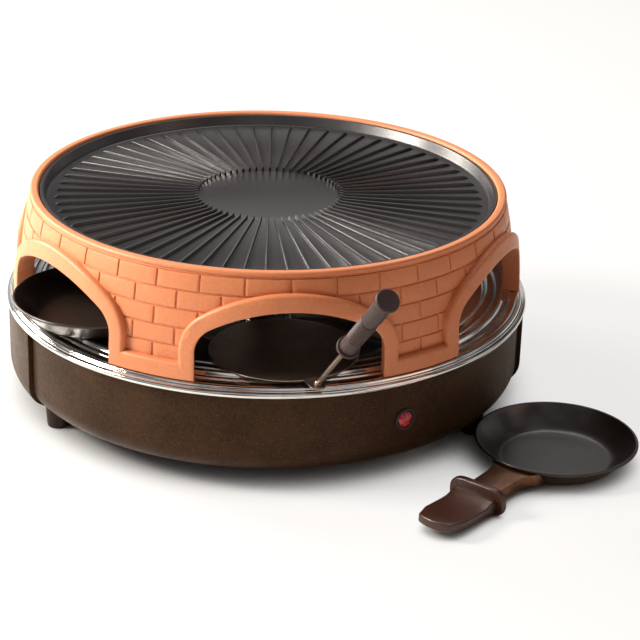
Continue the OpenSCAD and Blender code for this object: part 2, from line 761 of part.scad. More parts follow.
module ring_wall_form() {
    under_ledge_z = seat_z + arch_top + 4;
    rebate_r = ridge_r + ridge_w / 2 + 0.6;
    rotate_extrude() {
        polygon(concat(panel_line(ring_z, lip_z, 0, 6),
            [[lip_r, ring_top_z - lip_edge_r], [plate_seat_r, ring_top_z - lip_edge_r],
            [plate_seat_r, ledge_z], [ledge_r, ledge_z],
            [ledge_r, ledge_z - ledge_h], [panel_r(under_ledge_z) - ring_wall, under_ledge_z - 2],
            [panel_foot_r - ring_wall, ring_z + ridge_h], [rebate_r, ring_z + ridge_h],
            [rebate_r, ring_z]]));
        translate([plate_seat_r, lip_z]) {
            translate([lip_edge_r, 0]) square([lip_w - 2 * lip_edge_r, lip_h]);
            for (x = [lip_edge_r, lip_w - lip_edge_r]) translate([x, lip_h - lip_edge_r]) circle(lip_edge_r);
        }
    }
}

// The skin that the frames and the legs' bands are cut from
module frame_skin(top) {
    rotate_extrude() polygon(concat([[panel_foot_r - skin_depth, ring_z]],
        panel_line(ring_z, top, frame_proud, 4), [[panel_r(top) - skin_depth, top]]));
}

module terracotta_ring() {
    frame_rise = arch_rise + frame_top;
    color([0.83, 0.45, 0.28]) difference() {
        union() {
            ring_wall_form();
            intersection() {
                frame_skin(seat_z + spring_h + frame_rise + cut);
                arches(opening_half_w + frame_side, frame_rise, arch_corner_r + frame_side);
            }
            frame_skin(seat_z + band_h);
        }
        arches(opening_half_w, arch_rise, arch_corner_r);
    }
}

module grill_plate() {
    color([0.09, 0.09, 0.1]) {
        difference() {
            translate([0, 0, ledge_z + rest_gap])
                cylinder(h = plate_t + plate_edge_h, r = plate_r);
            translate([0, 0, plate_top_z])
                cylinder(h = plate_edge_h + cut, r1 = plate_r - plate_edge_t - 1.5, r2 = plate_r - plate_edge_t + 0.5);
        }
        for (i = [0 : rib_count - 1]) rotate([0, 0, i * 360 / rib_count]) {
            translate([rib_in_r, -rib_w / 2, plate_top_z - 1]) cube([rib_out_r - rib_in_r, rib_w, rib_h + 1]);
            translate([rib_in_r, 0, plate_top_z - 1]) cylinder(h = tooth_h + 1, r = tooth_r);
        }
    }
}

// Outer form of a pan's dish, and the same form moved in by the sheet's thickness
module dish_form(inset) {
    top_r = pan_r - bead_pan_r;
    rotate_extrude() polygon([[0, inset], [pan_floor_r, inset], [pan_floor_r + 3, pan_wall_foot_z + inset],
        [top_r - inset * 0.8, pan_h + (inset > 0 ? cut : 0)], [0, pan_h + (inset > 0 ? cut : 0)]]);
}

module pan_dish() {
    difference() {
        dish_form(0);
        dish_form(pan_t);
    }
    rotate_extrude() translate([pan_r - bead_pan_r, pan_h - bead_pan_r]) circle(bead_pan_r);
}

// Outline of the bracket seen from above, smaller all round by inset
module bracket_outline(inset) {
    neck_x = pan_r + 8;
    polygon([[pan_floor_r, bracket_flare_w / 2 - inset], [pan_r - 3, bracket_flare_w / 2 - inset],
        [neck_x, bracket_w / 2 + 2 - inset], [guard_x + 2 + inset, bracket_w / 2 - inset],
        [guard_x + 2 + inset, inset - bracket_w / 2], [neck_x, inset - bracket_w / 2 - 2],
        [pan_r - 3, inset - bracket_flare_w / 2], [pan_floor_r, inset - bracket_flare_w / 2]]);
}

// A folded steel channel from the dish's wall into the handle's guard
module pan_bracket() {
    difference() {
        translate([0, 0, bracket_top_z - bracket_h]) linear_extrude(height = bracket_h) bracket_outline(0);
        translate([0, 0, bracket_top_z - bracket_h - cut])
            linear_extrude(height = bracket_h - bracket_t + cut) bracket_outline(bracket_t);
        translate([0, 0, 0.05]) dish_form(0);
        rotate_extrude() polygon([[0, -cut], [pan_floor_r + 3, -cut], [pan_floor_r + 3.05, pan_wall_foot_z],
            [pan_r - bead_pan_r + 0.1, pan_h], [0, pan_h]]);
        rivet_holes(rivet_r);
    }
}

// Two rivets hold the bracket in the handle's guard
module rivet_holes(r) {
    for (side = [-1, 1]) translate([guard_x - 5, side * 6, bracket_top_z - bracket_h])
        cylinder(h = bracket_h + cut, r = r);
}

module pan_rivets() {
    for (side = [-1, 1]) translate([guard_x - 5, side * 6, 0]) {
        translate([0, 0, bracket_top_z - bracket_t - 1.2]) cylinder(h = bracket_t + 1.2, r = rivet_r);
        translate([0, 0, bracket_top_z]) cylinder(h = 1, r = rivet_r + 1.2);
        translate([0, 0, bracket_top_z - bracket_t - 1.2]) cylinder(h = 1.2, r = rivet_r + 1);
    }
}

// Outline of the guard: a rectangle with round corners
module guard_outline(w, h, r) {
    square([w - 2 * r, h], center = true);
    square([w, h - 2 * r], center = true);
    for (x = [-1, 1], y = [-1, 1]) translate([x * (w / 2 - r), y * (h / 2 - r)]) circle(r);
}

module paddle_outline() {
    tip_r = paddle_w * 0.85;
    intersection() {
        translate([-4, -paddle_w / 2]) square([paddle_l + 4, paddle_w]);
        translate([paddle_l - tip_r, 0]) circle(tip_r);
        translate([-4, -paddle_w / 2]) square([paddle_l + 4, paddle_w]);
    }
    translate([-4, -paddle_w / 2]) square([paddle_l - tip_r * 0.55, paddle_w]);
}

module pan_handle() {
    guard_z = guard_h / 2 + 1;
    difference() {
        union() {
            translate([guard_x, 0, guard_z]) rotate([90, 0, 90])
                linear_extrude(height = guard_t) guard_outline(guard_w, guard_h, guard_corner_r);
            translate([guard_x + guard_t, 0, paddle_z]) rotate([0, -paddle_tilt, 0])
                translate([0, 0, -paddle_t / 2]) linear_extrude(height = paddle_t) paddle_outline();
        }
        translate([guard_x - cut, -bracket_w / 2 - 0.1, bracket_top_z - bracket_h - 0.1])
            cube([cut + 2.1, bracket_w + 0.2, bracket_h + 0.2]);
    }
}

module place_oven_pan() {
    translate(at_az(oven_pan_x, oven_pan_az, oven_pan_z)) rotate([0, 0, oven_handle_az - 90]) children();
}

module place_table_pan() {
    translate(at_az(table_pan_x, table_pan_az)) rotate([0, 0, table_handle_az - 90]) children();
}

module oven_pan_dish() { color([0.1, 0.1, 0.1]) place_oven_pan() pan_dish(); }
module oven_pan_bracket() { color([0.35, 0.25, 0.18]) place_oven_pan() pan_bracket(); }
module oven_pan_handle() { color([0.16, 0.08, 0.05]) place_oven_pan() pan_handle(); }
module oven_pan_rivets() { color([0.6, 0.6, 0.6]) place_oven_pan() pan_rivets(); }
module table_pan_dish() { color([0.1, 0.1, 0.1]) place_table_pan() pan_dish(); }
module table_pan_bracket() { color([0.35, 0.25, 0.18]) place_table_pan() pan_bracket(); }
module table_pan_handle() { color([0.16, 0.08, 0.05]) place_table_pan() pan_handle(); }
module table_pan_rivets() { color([0.6, 0.6, 0.6]) place_table_pan() pan_rivets(); }

module place_spatula() {
    translate([0, -blade_x, blade_z]) rotate([0, 0, handle_az - 90]) children();
}

// Places its children on the rod, their Z along it from the blade
module along_rod() {
    place_spatula() translate([rod_foot_x, 0, blade_t + rod_d / 2 - 0.4]) rotate([0, 90 - rod_rise, 0]) children();
}

module spatula_blade() {
    tab_w = 12;
    color([0.72, 0.72, 0.74]) place_spatula() {
        cylinder(h = blade_t, r = blade_r);
        translate([blade_r - 4, -tab_w / 2, 0]) cube([rod_foot_x - blade_r + 4, tab_w, blade_t]);
        translate([rod_foot_x, 0, 0]) cylinder(h = blade_t, d = tab_w);
    }
}

module spatula_rod() {
    color([0.55, 0.5, 0.46]) difference() {
        union() {
            along_rod() {
                sphere(rod_d / 2 + 1);
                cylinder(h = spatula_l - 20, d = rod_d);
            }
        }
        place_spatula() translate([rod_foot_x - 10, -10, -10]) cube([20, 20, 10 + blade_t + 0.01]);
    }
}

module spatula_collar() {
    color([0.3, 0.22, 0.19]) along_rod() difference() {
        translate([0, 0, grip_start - collar_t]) cylinder(h = collar_t, d = collar_d);
        translate([0, 0, grip_start - collar_t - cut]) cylinder(h = collar_t + 2 * cut, d = rod_d + 0.1);
    }
}

module spatula_grip() {
    core_l = grip_l - cap_t;
    rib_pitch = 3.6;
    rib_start = 14;
    color([0.3, 0.22, 0.19]) along_rod() translate([0, 0, grip_start]) difference() {
        rotate_extrude() {
            polygon([[0, 0], [grip_d / 2, 0], [grip_d / 2, 5], [grip_d / 2 - 1.2, rib_start],
                [grip_d / 2 - 1.2, rib_start + grip_ribs * rib_pitch], [grip_d / 2, core_l * 0.72],
                [grip_d / 2 - 1, core_l], [0, core_l]]);
            for (i = [0 : grip_ribs - 1])
                translate([grip_d / 2 - 1.2, rib_start + (i + 0.5) * rib_pitch]) circle(1.1);
        }
        translate([0, 0, -cut]) cylinder(h = spatula_l - 20 - grip_start + cut + 0.1, d = rod_d + 0.1);
    }
}

module spatula_cap() {
    color([0.3, 0.22, 0.19]) along_rod() translate([0, 0, spatula_l - cap_t])
        cylinder(h = cap_t, d = collar_d);
}

base_shell();
bottom_cover();
feet();
foot_screws();
foot_nuts();
cover_screws();
cord_gland();
gland_nut();
pilot_bezel();
pilot_lens();
pilot_lamp_holder();
heat_reflector();
baking_tray();
lower_element();
lower_element_clips();
thermostat();
thermal_fuse();
terminal_block();
internal_leads();
stud_spacers();
column_foot();
column_tube();
centre_stud();
stud_nuts();
element_spider();
upper_element();
upper_element_clips();
terracotta_ring();
grill_plate();
oven_pan_dish();
oven_pan_bracket();
oven_pan_handle();
oven_pan_rivets();
table_pan_dish();
table_pan_bracket();
table_pan_handle();
table_pan_rivets();
spatula_blade();
spatula_rod();
spatula_collar();
spatula_grip();
spatula_cap();
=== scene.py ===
"""Looks of the round table-top pizza maker: finishes, modelled pieces, light and camera.

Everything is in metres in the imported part's frame: Z up, the table at 0, -Y out through the
front opening. Azimuths are in degrees from -Y towards +X.
"""

import json
import logging
import math
from contextlib import contextmanager
from dataclasses import dataclass
from enum import Enum
from typing import Callable, Iterator, Sequence

import bpy
from mathutils import Matrix, Vector


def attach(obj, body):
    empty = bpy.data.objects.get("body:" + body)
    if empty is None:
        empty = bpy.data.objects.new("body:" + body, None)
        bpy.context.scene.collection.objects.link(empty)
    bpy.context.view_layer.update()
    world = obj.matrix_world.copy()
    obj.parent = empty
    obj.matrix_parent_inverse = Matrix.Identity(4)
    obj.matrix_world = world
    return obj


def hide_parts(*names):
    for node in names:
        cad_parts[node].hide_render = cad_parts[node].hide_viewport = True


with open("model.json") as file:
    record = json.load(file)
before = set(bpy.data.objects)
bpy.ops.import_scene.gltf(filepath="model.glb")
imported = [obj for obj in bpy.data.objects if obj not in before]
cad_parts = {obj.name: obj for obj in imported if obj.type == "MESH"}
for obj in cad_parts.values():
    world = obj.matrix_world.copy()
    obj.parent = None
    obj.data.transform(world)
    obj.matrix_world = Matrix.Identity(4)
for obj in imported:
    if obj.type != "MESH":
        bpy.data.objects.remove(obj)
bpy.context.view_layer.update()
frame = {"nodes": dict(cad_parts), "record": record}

log = logging.getLogger("pizza_maker")
Point2 = tuple[float, float]
Inputs = dict[str | int, object]
Piece = bpy.types.Object
Tree = bpy.types.NodeTree
MM = 0.001
TIGHT = 1e-6  # how close, in metres, counts as the same place


# ---------------------------------------------------------------- modelling tools


class Bench:
    """Mesh tools that work as by hand: select, then apply one of Blender's operators."""

    @staticmethod
    def clear() -> None:
        """Goes to object mode with nothing selected."""
        if bpy.context.mode != "OBJECT":
            bpy.ops.object.mode_set(mode="OBJECT")
        bpy.ops.object.select_all(action="DESELECT")

    @staticmethod
    def take(*pieces: Piece) -> None:
        """Selects the pieces and nothing else, and makes the first one active.

        Args:
            pieces: The objects to select.
        """
        Bench.clear()
        for piece in pieces:
            piece.select_set(True)
        bpy.context.view_layer.objects.active = pieces[0]

    @staticmethod
    @contextmanager
    def editing(piece: Piece, elements: str = "VERT") -> Iterator[bpy.types.Mesh]:
        """Opens a piece in edit mode with nothing selected, and closes it again.

        Args:
            piece: The object to edit.
            elements: VERT, EDGE or FACE, the kind of element that is selected.

        Yields:
            The piece's mesh.
        """
        Bench.take(piece)
        bpy.ops.object.mode_set(mode="EDIT")
        bpy.ops.mesh.select_mode(type=elements)
        bpy.ops.mesh.select_all(action="DESELECT")
        yield piece.data
        bpy.ops.object.mode_set(mode="OBJECT")

    @staticmethod
    def pick(piece: Piece, elements: str, test: Callable[..., bool]) -> int:
        """Selects the elements that pass a test. The piece is open in edit mode.

        Args:
            piece: The object being edited.
            elements: VERT, EDGE or FACE.
            test: Says whether an element is wanted. A vertex is given by its place, an
                edge by the places of its ends, and a face by its centre and normal.

        Returns:
            How many elements were selected.
        """
        bpy.ops.mesh.select_mode(type=elements)
        bpy.ops.mesh.select_all(action="DESELECT")
        bpy.ops.object.mode_set(mode="OBJECT")
        mesh, count = piece.data, 0
        if elements == "VERT":
            for v in mesh.vertices:
                v.select = test(v.co)
                count += v.select
        elif elements == "EDGE":
            for e in mesh.edges:
                e.select = test(*(mesh.vertices[i].co for i in e.vertices))
                count += e.select
        else:
            for f in mesh.polygons:
                f.select = test(f.center, f.normal)
                count += f.select
        bpy.ops.object.mode_set(mode="EDIT")
        bpy.ops.mesh.select_mode(type=elements)
        return count

    @staticmethod
    def everything() -> None:
        """Selects all of the piece that is open in edit mode."""
        bpy.ops.mesh.select_all(action="SELECT")

    @staticmethod
    def slice(place: Sequence[float], normal: Sequence[float], clear: bool = False) -> None:
        """Cuts a plane through the whole piece that is open in edit mode.

        Args:
            place: A point of the plane, in millimetres.
            normal: The plane's normal.
            clear: Whether what lies beyond the plane is taken away.
        """
        Bench.everything()
        bpy.ops.mesh.bisect(plane_co=[v * MM for v in place], plane_no=normal,
                            clear_outer=clear)

    @staticmethod
    def shift(x: float, y: float, z: float) -> None:
        """Moves what is selected in edit mode, in millimetres."""
        bpy.ops.transform.translate(value=(x * MM, y * MM, z * MM))

    @staticmethod
    def bevel(width: float, segments: int, profile: float = 0.5) -> None:
        """Bevels the edges selected in edit mode.

        Args:
            width: Width of the bevel, in millimetres.
            segments: Number of segments across it.
            profile: Its shape, round at 0.5.
        """
        bpy.ops.mesh.bevel(offset=width * MM, segments=segments, profile=profile,
                           clamp_overlap=True)

    @staticmethod
    def chain(name: str, points: Sequence[Vector], close: bool) -> Piece:
        """Draws a line of edges by extruding a single vertex from point to point.

        Args:
            name: Name of the new object.
            points: The points in order.
            close: Whether the line is closed and filled with a face.

        Returns:
            The new object, at the origin.
        """
        Bench.clear()
        bpy.ops.mesh.primitive_plane_add(size=0.01)
        piece = bpy.context.object
        piece.name = piece.data.name = name
        bpy.ops.object.mode_set(mode="EDIT")
        bpy.ops.mesh.select_mode(type="VERT")
        Bench.everything()
        bpy.ops.mesh.merge(type="CENTER")
        bpy.ops.transform.translate(value=points[0])
        for start, end in zip(points, points[1:]):
            bpy.ops.mesh.extrude_vertices_move(TRANSFORM_OT_translate={"value": end - start})
        if close:
            Bench.everything()
            bpy.ops.mesh.edge_face_add()
        bpy.ops.object.mode_set(mode="OBJECT")
        return piece

    @staticmethod
    def heal(piece: Piece, distance: float = 2e-6) -> None:
        """Merges doubled vertices and turns every face outwards.

        Args:
            piece: The object to mend.
            distance: How close vertices are merged, in metres.
        """
        with Bench.editing(piece):
            Bench.everything()
            bpy.ops.mesh.remove_doubles(threshold=distance)
            bpy.ops.mesh.normals_make_consistent(inside=False)

    @staticmethod
    def lathe(name: str, profile: Sequence[Point2], steps: int = 192, sweep: float = 360.0,
              start: float = 0.0) -> Piece:
        """Spins a closed section round the Z axis.

        Args:
            name: Name of the new object.
            profile: The section's corners as radius and height, in millimetres. A section
                whose first and last points lie on the axis is left open there.
            steps: Number of steps of the spin.
            sweep: Angle of the spin, in degrees.
            start: Azimuth at which the spin starts.

        Returns:
            The new object.
        """
        turn = Matrix.Rotation(math.radians(start), 3, "Z")
        points = [turn @ Vector((0, -r * MM, z * MM)) for r, z in profile]
        on_axis = profile[0][0] < 1e-6 and profile[-1][0] < 1e-6
        piece = Bench.chain(name, points, close=False)
        with Bench.editing(piece):
            if not on_axis:
                ends = (points[0], points[-1])
                Bench.pick(piece, "VERT", lambda c: min((c - p).length for p in ends) < 1e-7)
                bpy.ops.mesh.edge_face_add()
            Bench.everything()
            bpy.ops.mesh.spin(steps=steps, angle=-math.radians(sweep), center=(0, 0, 0),
                              axis=(0, 0, 1))
            if sweep < 359:
                Bench.everything()
                bpy.ops.mesh.remove_doubles(threshold=1e-7)
                bpy.ops.mesh.fill_holes(sides=0)
        Bench.heal(piece)
        return piece

    @staticmethod
    def prism(name: str, outline: Sequence[Point2], low: float, high: float,
              normal: str = "Z") -> Piece:
        """Fills an outline with a face and extrudes it.

        Args:
            name: Name of the new object.
            outline: Corners in millimetres, as x and y, or as x and z where normal is Y.
            low: Where the prism starts along its normal, in millimetres.
            high: Where it ends.
            normal: Z or Y, the axis that the prism is extruded along.

        Returns:
            The new object.
        """
        up = Vector((0, 0, 1)) if normal == "Z" else Vector((0, 1, 0))
        points = [Vector((x, y, low)) * MM if normal == "Z" else Vector((x, low, y)) * MM
                  for x, y in outline]
        piece = Bench.chain(name, points, close=True)
        with Bench.editing(piece, "FACE"):
            Bench.everything()
            bpy.ops.mesh.extrude_region_move(
                TRANSFORM_OT_translate={"value": up * (high - low) * MM})
        Bench.heal(piece)
        return piece

    @staticmethod
    def block(name: str, size: Sequence[float], centre: Sequence[float]) -> Piece:
        """Adds a box, in millimetres, with its place in its mesh.

        Args:
            name: Name of the new object.
            size: Length along X, Y and Z.
            centre: Its centre.

        Returns:
            The new object.
        """
        Bench.clear()
        bpy.ops.mesh.primitive_cube_add(size=1)
        piece = bpy.context.object
        piece.name = piece.data.name = name
        Bench.place(piece, move(*centre) @ Matrix.Diagonal((*(s * MM for s in size), 1)))
        return piece

    @staticmethod
    def place(piece: Piece, where: Matrix) -> Piece:
        """Moves a piece and writes its new place into its mesh.

        Args:
            piece: The object to move.
            where: The matrix that it is moved by.

        Returns:
            The same object, standing at the origin.
        """
        piece.matrix_world = where
        Bench.take(piece)
        bpy.ops.object.transform_apply(location=True, rotation=True, scale=True)
        if where.determinant() < 0:
            Bench.heal(piece)
        return piece

    @staticmethod
    def copy(piece: Piece, name: str, where: Matrix | None = None) -> Piece:
        """Copies a piece with its own mesh.

        Args:
            piece: The object to copy.
            name: Name of the copy.
            where: The matrix that the copy is moved by.

        Returns:
            The copy.
        """
        Bench.take(piece)
        bpy.ops.object.duplicate(linked=False)
        twin = bpy.context.object
        twin.name = twin.data.name = name
        return Bench.place(twin, where) if where else twin

    @staticmethod
    def weld(name: str, pieces: Sequence[Piece]) -> Piece:
        """Joins pieces into one object.

        Args:
            name: Name of the joined object.
            pieces: The objects to join.

        Returns:
            The joined object.
        """
        Bench.take(*pieces)
        if len(pieces) > 1:
            bpy.ops.object.join()
        piece = bpy.context.object
        piece.name = piece.data.name = name
        return piece

    @staticmethod
    def ring_of(piece: Piece, name: str, count: int) -> Piece:
        """Copies a piece round the Z axis and joins the copies.

        Args:
            piece: The piece to repeat. It is used up.
            name: Name of the joined object.
            count: How many there are in the full circle.

        Returns:
            The joined object.
        """
        copies = [Bench.copy(piece, f"{name}_{i}", polar(i * 360 / count))
                  for i in range(count)]
        Bench.drop(piece)
        return Bench.weld(name, copies)

    @staticmethod
    def drop(piece: Piece) -> None:
        """Deletes a piece."""
        bpy.data.objects.remove(piece)

    @staticmethod
    def finish_with(piece: Piece, kind: str, **settings: object) -> None:
        """Adds a modifier and applies it.

        Args:
            piece: The object to change.
            kind: Blender's type name of the modifier.
            settings: Values of the modifier's settings.
        """
        modifier = piece.modifiers.new(kind.lower(), kind)
        for key, value in settings.items():
            setattr(modifier, key, value)
        Bench.take(piece)
        bpy.ops.object.modifier_apply(modifier=modifier.name)

    @staticmethod
    def cut(piece: Piece, cutter: Piece) -> None:
        """Takes the cutter's volume out of a piece, and deletes the cutter."""
        Bench.finish_with(piece, "BOOLEAN", object=cutter, operation="DIFFERENCE",
                          solver="EXACT")
        Bench.drop(cutter)

    @staticmethod
    def soften(piece: Piece, width: float, segments: int = 3,
               angle: float = 35.0) -> None:
        """Rounds the edges that are sharper than an angle.

        Args:
            piece: The object to change.
            width: Width of the rounding, in millimetres.
            segments: Number of segments across it.
            angle: Smallest angle between faces that is rounded, in degrees.
        """
        Bench.finish_with(piece, "BEVEL", width=width * MM, segments=segments,
                          limit_method="ANGLE", angle_limit=math.radians(angle),
                          use_clamp_overlap=True)

    @staticmethod
    def smooth(piece: Piece, angle: float = 32.0) -> None:
        """Shades a piece smooth, with edges sharper than the angle left crisp."""
        Bench.take(piece)
        bpy.ops.object.shade_smooth_by_angle(angle=math.radians(angle))


def arc(centre: Point2, radius: float, start: float, end: float, steps: int) -> list[Point2]:
    """Points of an arc.

    Args:
        centre: Its centre.
        radius: Its radius.
        start: Angle at which it starts, in degrees.
        end: Angle at which it ends.
        steps: Number of steps between its first and last point.

    Returns:
        The points, the ends included.
    """
    angles = [math.radians(start + (end - start) * i / steps) for i in range(steps + 1)]
    return [(centre[0] + radius * math.cos(a), centre[1] + radius * math.sin(a)) for a in angles]


def eased(points: Sequence[tuple[float, float, float]], closed: bool = True,
          steps: int = 4) -> list[Point2]:
    """Rounds the corners of a line.

    Args:
        points: Corners as x, y and the distance from the corner at which its rounding starts.
        closed: Whether the line goes back to its first point.
        steps: Number of steps in each rounding.

    Returns:
        The points of the rounded line.
    """
    out: list[Point2] = []
    count = len(points)
    for i, (x, y, reach) in enumerate(points):
        at_end = not closed and i in (0, count - 1)
        if reach <= 0 or at_end:
            out.append((x, y))
            continue
        here = Vector((x, y))
        before, after = (Vector(points[j % count][:2]) for j in (i - 1, i + 1))
        start = here + (before - here).normalized() * min(reach, (before - here).length * 0.49)
        end = here + (after - here).normalized() * min(reach, (after - here).length * 0.49)
        for k in range(steps + 1):
            t = k / steps
            p = start * (1 - t) ** 2 + here * 2 * t * (1 - t) + end * t ** 2
            out.append((p.x, p.y))
    return out


def polar(azimuth: float) -> Matrix:
    """Turns a piece made at the front, at -Y, to an azimuth in degrees."""
    return Matrix.Rotation(math.radians(azimuth), 4, "Z")


def move(x: float, y: float, z: float) -> Matrix:
    """Moves a piece, in millimetres."""
    return Matrix.Translation((x * MM, y * MM, z * MM))


# ---------------------------------------------------------------- finishes


class Graph:
    """Adds nodes to a shader tree, each with its settings, values and links in one call."""

    def __init__(self, tree: Tree) -> None:
        """Keeps the tree.

        Args:
            tree: The nodes of a material, a world or a group.
        """
        self.tree = tree

    def feed(self, node: bpy.types.Node, inputs: Inputs) -> None:
        """Sets or links a node's inputs.

        Args:
            node: The node.
            inputs: For each input, a value to set or a socket to link from.
        """
        for key, value in inputs.items():
            if isinstance(value, bpy.types.NodeSocket):
                self.tree.links.new(value, node.inputs[key])
            else:
                node.inputs[key].default_value = value

    def add(self, kind: str, inputs: Inputs | None = None, **settings: object) -> bpy.types.Node:
        """Adds a node.

        Args:
            kind: Blender's type name of the node, without ShaderNode.
            inputs: What its inputs are fed with.
            settings: Values of the node's own settings.

        Returns:
            The node.
        """
        node = self.tree.nodes.new(f"ShaderNode{kind}")
        for key, value in settings.items():
            setattr(node, key, value)
        self.feed(node, inputs or {})
        return node


class Effect(Enum):
    """Shared shader effects, each built once as a node group."""

    MOTTLE = "mottle"
    SPECKLE = "speckle"
    RINGS = "turned_rings"
    GRAIN = "fine_grain"


class EffectShop:
    """Builds the node groups of the shared effects."""

    def __init__(self) -> None:
        """Starts with no group built."""
        self.built: dict[Effect, Tree] = {}

    def get(self, effect: Effect) -> Tree:
        """Gives the group of an effect, built on its first use.

        Args:
            effect: The effect wanted.

        Returns:
            Its node group.
        """
        if effect not in self.built:
            makers = {Effect.MOTTLE: self._mottle, Effect.SPECKLE: self._speckle,
                      Effect.RINGS: self._rings, Effect.GRAIN: self._grain}
            self.built[effect] = makers[effect](effect.value)
        return self.built[effect]

    @staticmethod
    def _new(name: str, inputs: dict[str, object], outputs: dict[str, str],
             ) -> tuple[Graph, bpy.types.NodeOutputs, bpy.types.Node]:
        """Makes an empty group.

        Args:
            name: Its name.
            inputs: Default value of each input, a float or a colour.
            outputs: Type of each output: Float, Color or Vector.

        Returns:
            The group's graph, the sockets of its inputs and its output node.
        """
        tree = bpy.data.node_groups.new(name, "ShaderNodeTree")
        for label, value in inputs.items():
            kind = "NodeSocketFloat" if isinstance(value, float) else "NodeSocketColor"
            tree.interface.new_socket(name=label, in_out="INPUT",
                                      socket_type=kind).default_value = value
        for label, kind in outputs.items():
            tree.interface.new_socket(name=label, in_out="OUTPUT",
                                      socket_type=f"NodeSocket{kind}")
        start, end = tree.nodes.new("NodeGroupInput"), tree.nodes.new("NodeGroupOutput")
        return Graph(tree), start.outputs, end

    def _mottle(self, name: str) -> Tree:
        """Uneven colour: two tones mixed by soft clouds, a coarse and a fine one."""
        graph, start, end = self._new(name, {
            "Tone": (0.5, 0.5, 0.5, 1), "Other tone": (0.4, 0.4, 0.4, 1),
            "Scale": 20.0, "Fine scale": 300.0}, {"Color": "Color", "Mask": "Float"})
        place = graph.add("TexCoord").outputs["Object"]
        coarse, fine = (graph.add("TexNoise", {"Detail": detail, "Vector": place,
                                               "Scale": start[label]}).outputs["Fac"]
                        for label, detail in (("Scale", 3.0), ("Fine scale", 2.0)))
        blend = graph.add("Mix", {"Factor": 0.35, "A": coarse, "B": fine})
        mask = graph.add("MapRange", {"From Min": 0.36, "From Max": 0.64,
                                      "Value": blend.outputs["Result"]},
                         interpolation_type="SMOOTHSTEP").outputs["Result"]
        paint = graph.add("Mix", {"Factor": mask, 6: start["Tone"], 7: start["Other tone"]},
                          data_type="RGBA")
        graph.feed(end, {"Color": paint.outputs[2], "Mask": mask})
        return graph.tree

    def _speckle(self, name: str) -> Tree:
        """Small bright flakes strewn over a paint."""
        graph, start, end = self._new(name, {"Scale": 900.0, "Amount": 0.2},
                                      {"Mask": "Float"})
        cells = graph.add("TexVoronoi", {"Vector": graph.add("TexCoord").outputs["Object"],
                                         "Scale": start["Scale"]})
        tint = graph.add("SeparateColor", {"Color": cells.outputs["Color"]})
        chosen = graph.add("Math", {0: tint.outputs["Red"], 1: start["Amount"]},
                           operation="LESS_THAN")
        core = graph.add("MapRange", {"From Min": 0.45, "From Max": 0.15,
                                      "Value": cells.outputs["Distance"]})
        both = graph.add("Math", {0: chosen.outputs[0], 1: core.outputs["Result"]},
                         operation="MULTIPLY")
        graph.feed(end, {"Mask": both.outputs[0]})
        return graph.tree

    def _rings(self, name: str) -> Tree:
        """Fine concentric lines, as turning or polishing leaves them round the Z axis."""
        graph, start, end = self._new(name, {"Lines": 900.0, "Waver": 8.0},
                                      {"Height": "Float"})
        split = graph.add("SeparateXYZ", {"Vector": graph.add("TexCoord").outputs["Object"]})
        flat = graph.add("CombineXYZ", {key: split.outputs[key] for key in "XY"}).outputs[0]
        radius = graph.add("VectorMath", {0: flat}, operation="LENGTH")
        stretch = graph.add("Math", {0: radius.outputs["Value"], 1: start["Lines"]},
                            operation="MULTIPLY")
        around = graph.add("VectorMath", {0: flat, "Scale": start["Waver"]},
                           operation="SCALE")
        move = graph.add("CombineXYZ", {"Z": stretch.outputs[0]})
        where = graph.add("VectorMath", {0: around.outputs[0], 1: move.outputs[0]},
                          operation="ADD")
        lines = graph.add("TexNoise", {"Scale": 1.0, "Detail": 4.0,
                                       "Vector": where.outputs[0]})
        graph.feed(end, {"Height": lines.outputs["Fac"]})
        return graph.tree

    def _grain(self, name: str) -> Tree:
        """A bumped normal from a fine grain and a softer waviness."""
        graph, start, end = self._new(name, {"Grain scale": 1500.0, "Grain": 0.1,
                                             "Wave scale": 60.0, "Wave": 0.05},
                                      {"Normal": "Vector"})
        place = graph.add("TexCoord").outputs["Object"]
        last: Inputs = {}
        for label, detail, height in (("Wave", 2.0, 0.0006), ("Grain", 3.0, 0.00008)):
            noise = graph.add("TexNoise", {"Detail": detail, "Vector": place,
                                           "Scale": start[f"{label} scale"]})
            bump = graph.add("Bump", {"Distance": height, "Strength": start[label],
                                      "Height": noise.outputs["Fac"], **last})
            last = {"Normal": bump.outputs["Normal"]}
        graph.feed(end, last)
        return graph.tree


EFFECTS = EffectShop()


def rgb(value: str) -> tuple[float, float, float, float]:
    """Turns a colour written as six hexadecimal digits into linear values.

    Args:
        value: The colour, such as "c8865f".

    Returns:
        Red, green, blue and alpha for a colour socket.
    """
    parts = [int(value[i:i + 2], 16) / 255 for i in (0, 2, 4)]
    linear = [p / 12.92 if p <= 0.04045 else ((p + 0.055) / 1.055) ** 2.4 for p in parts]
    return (*linear, 1.0)


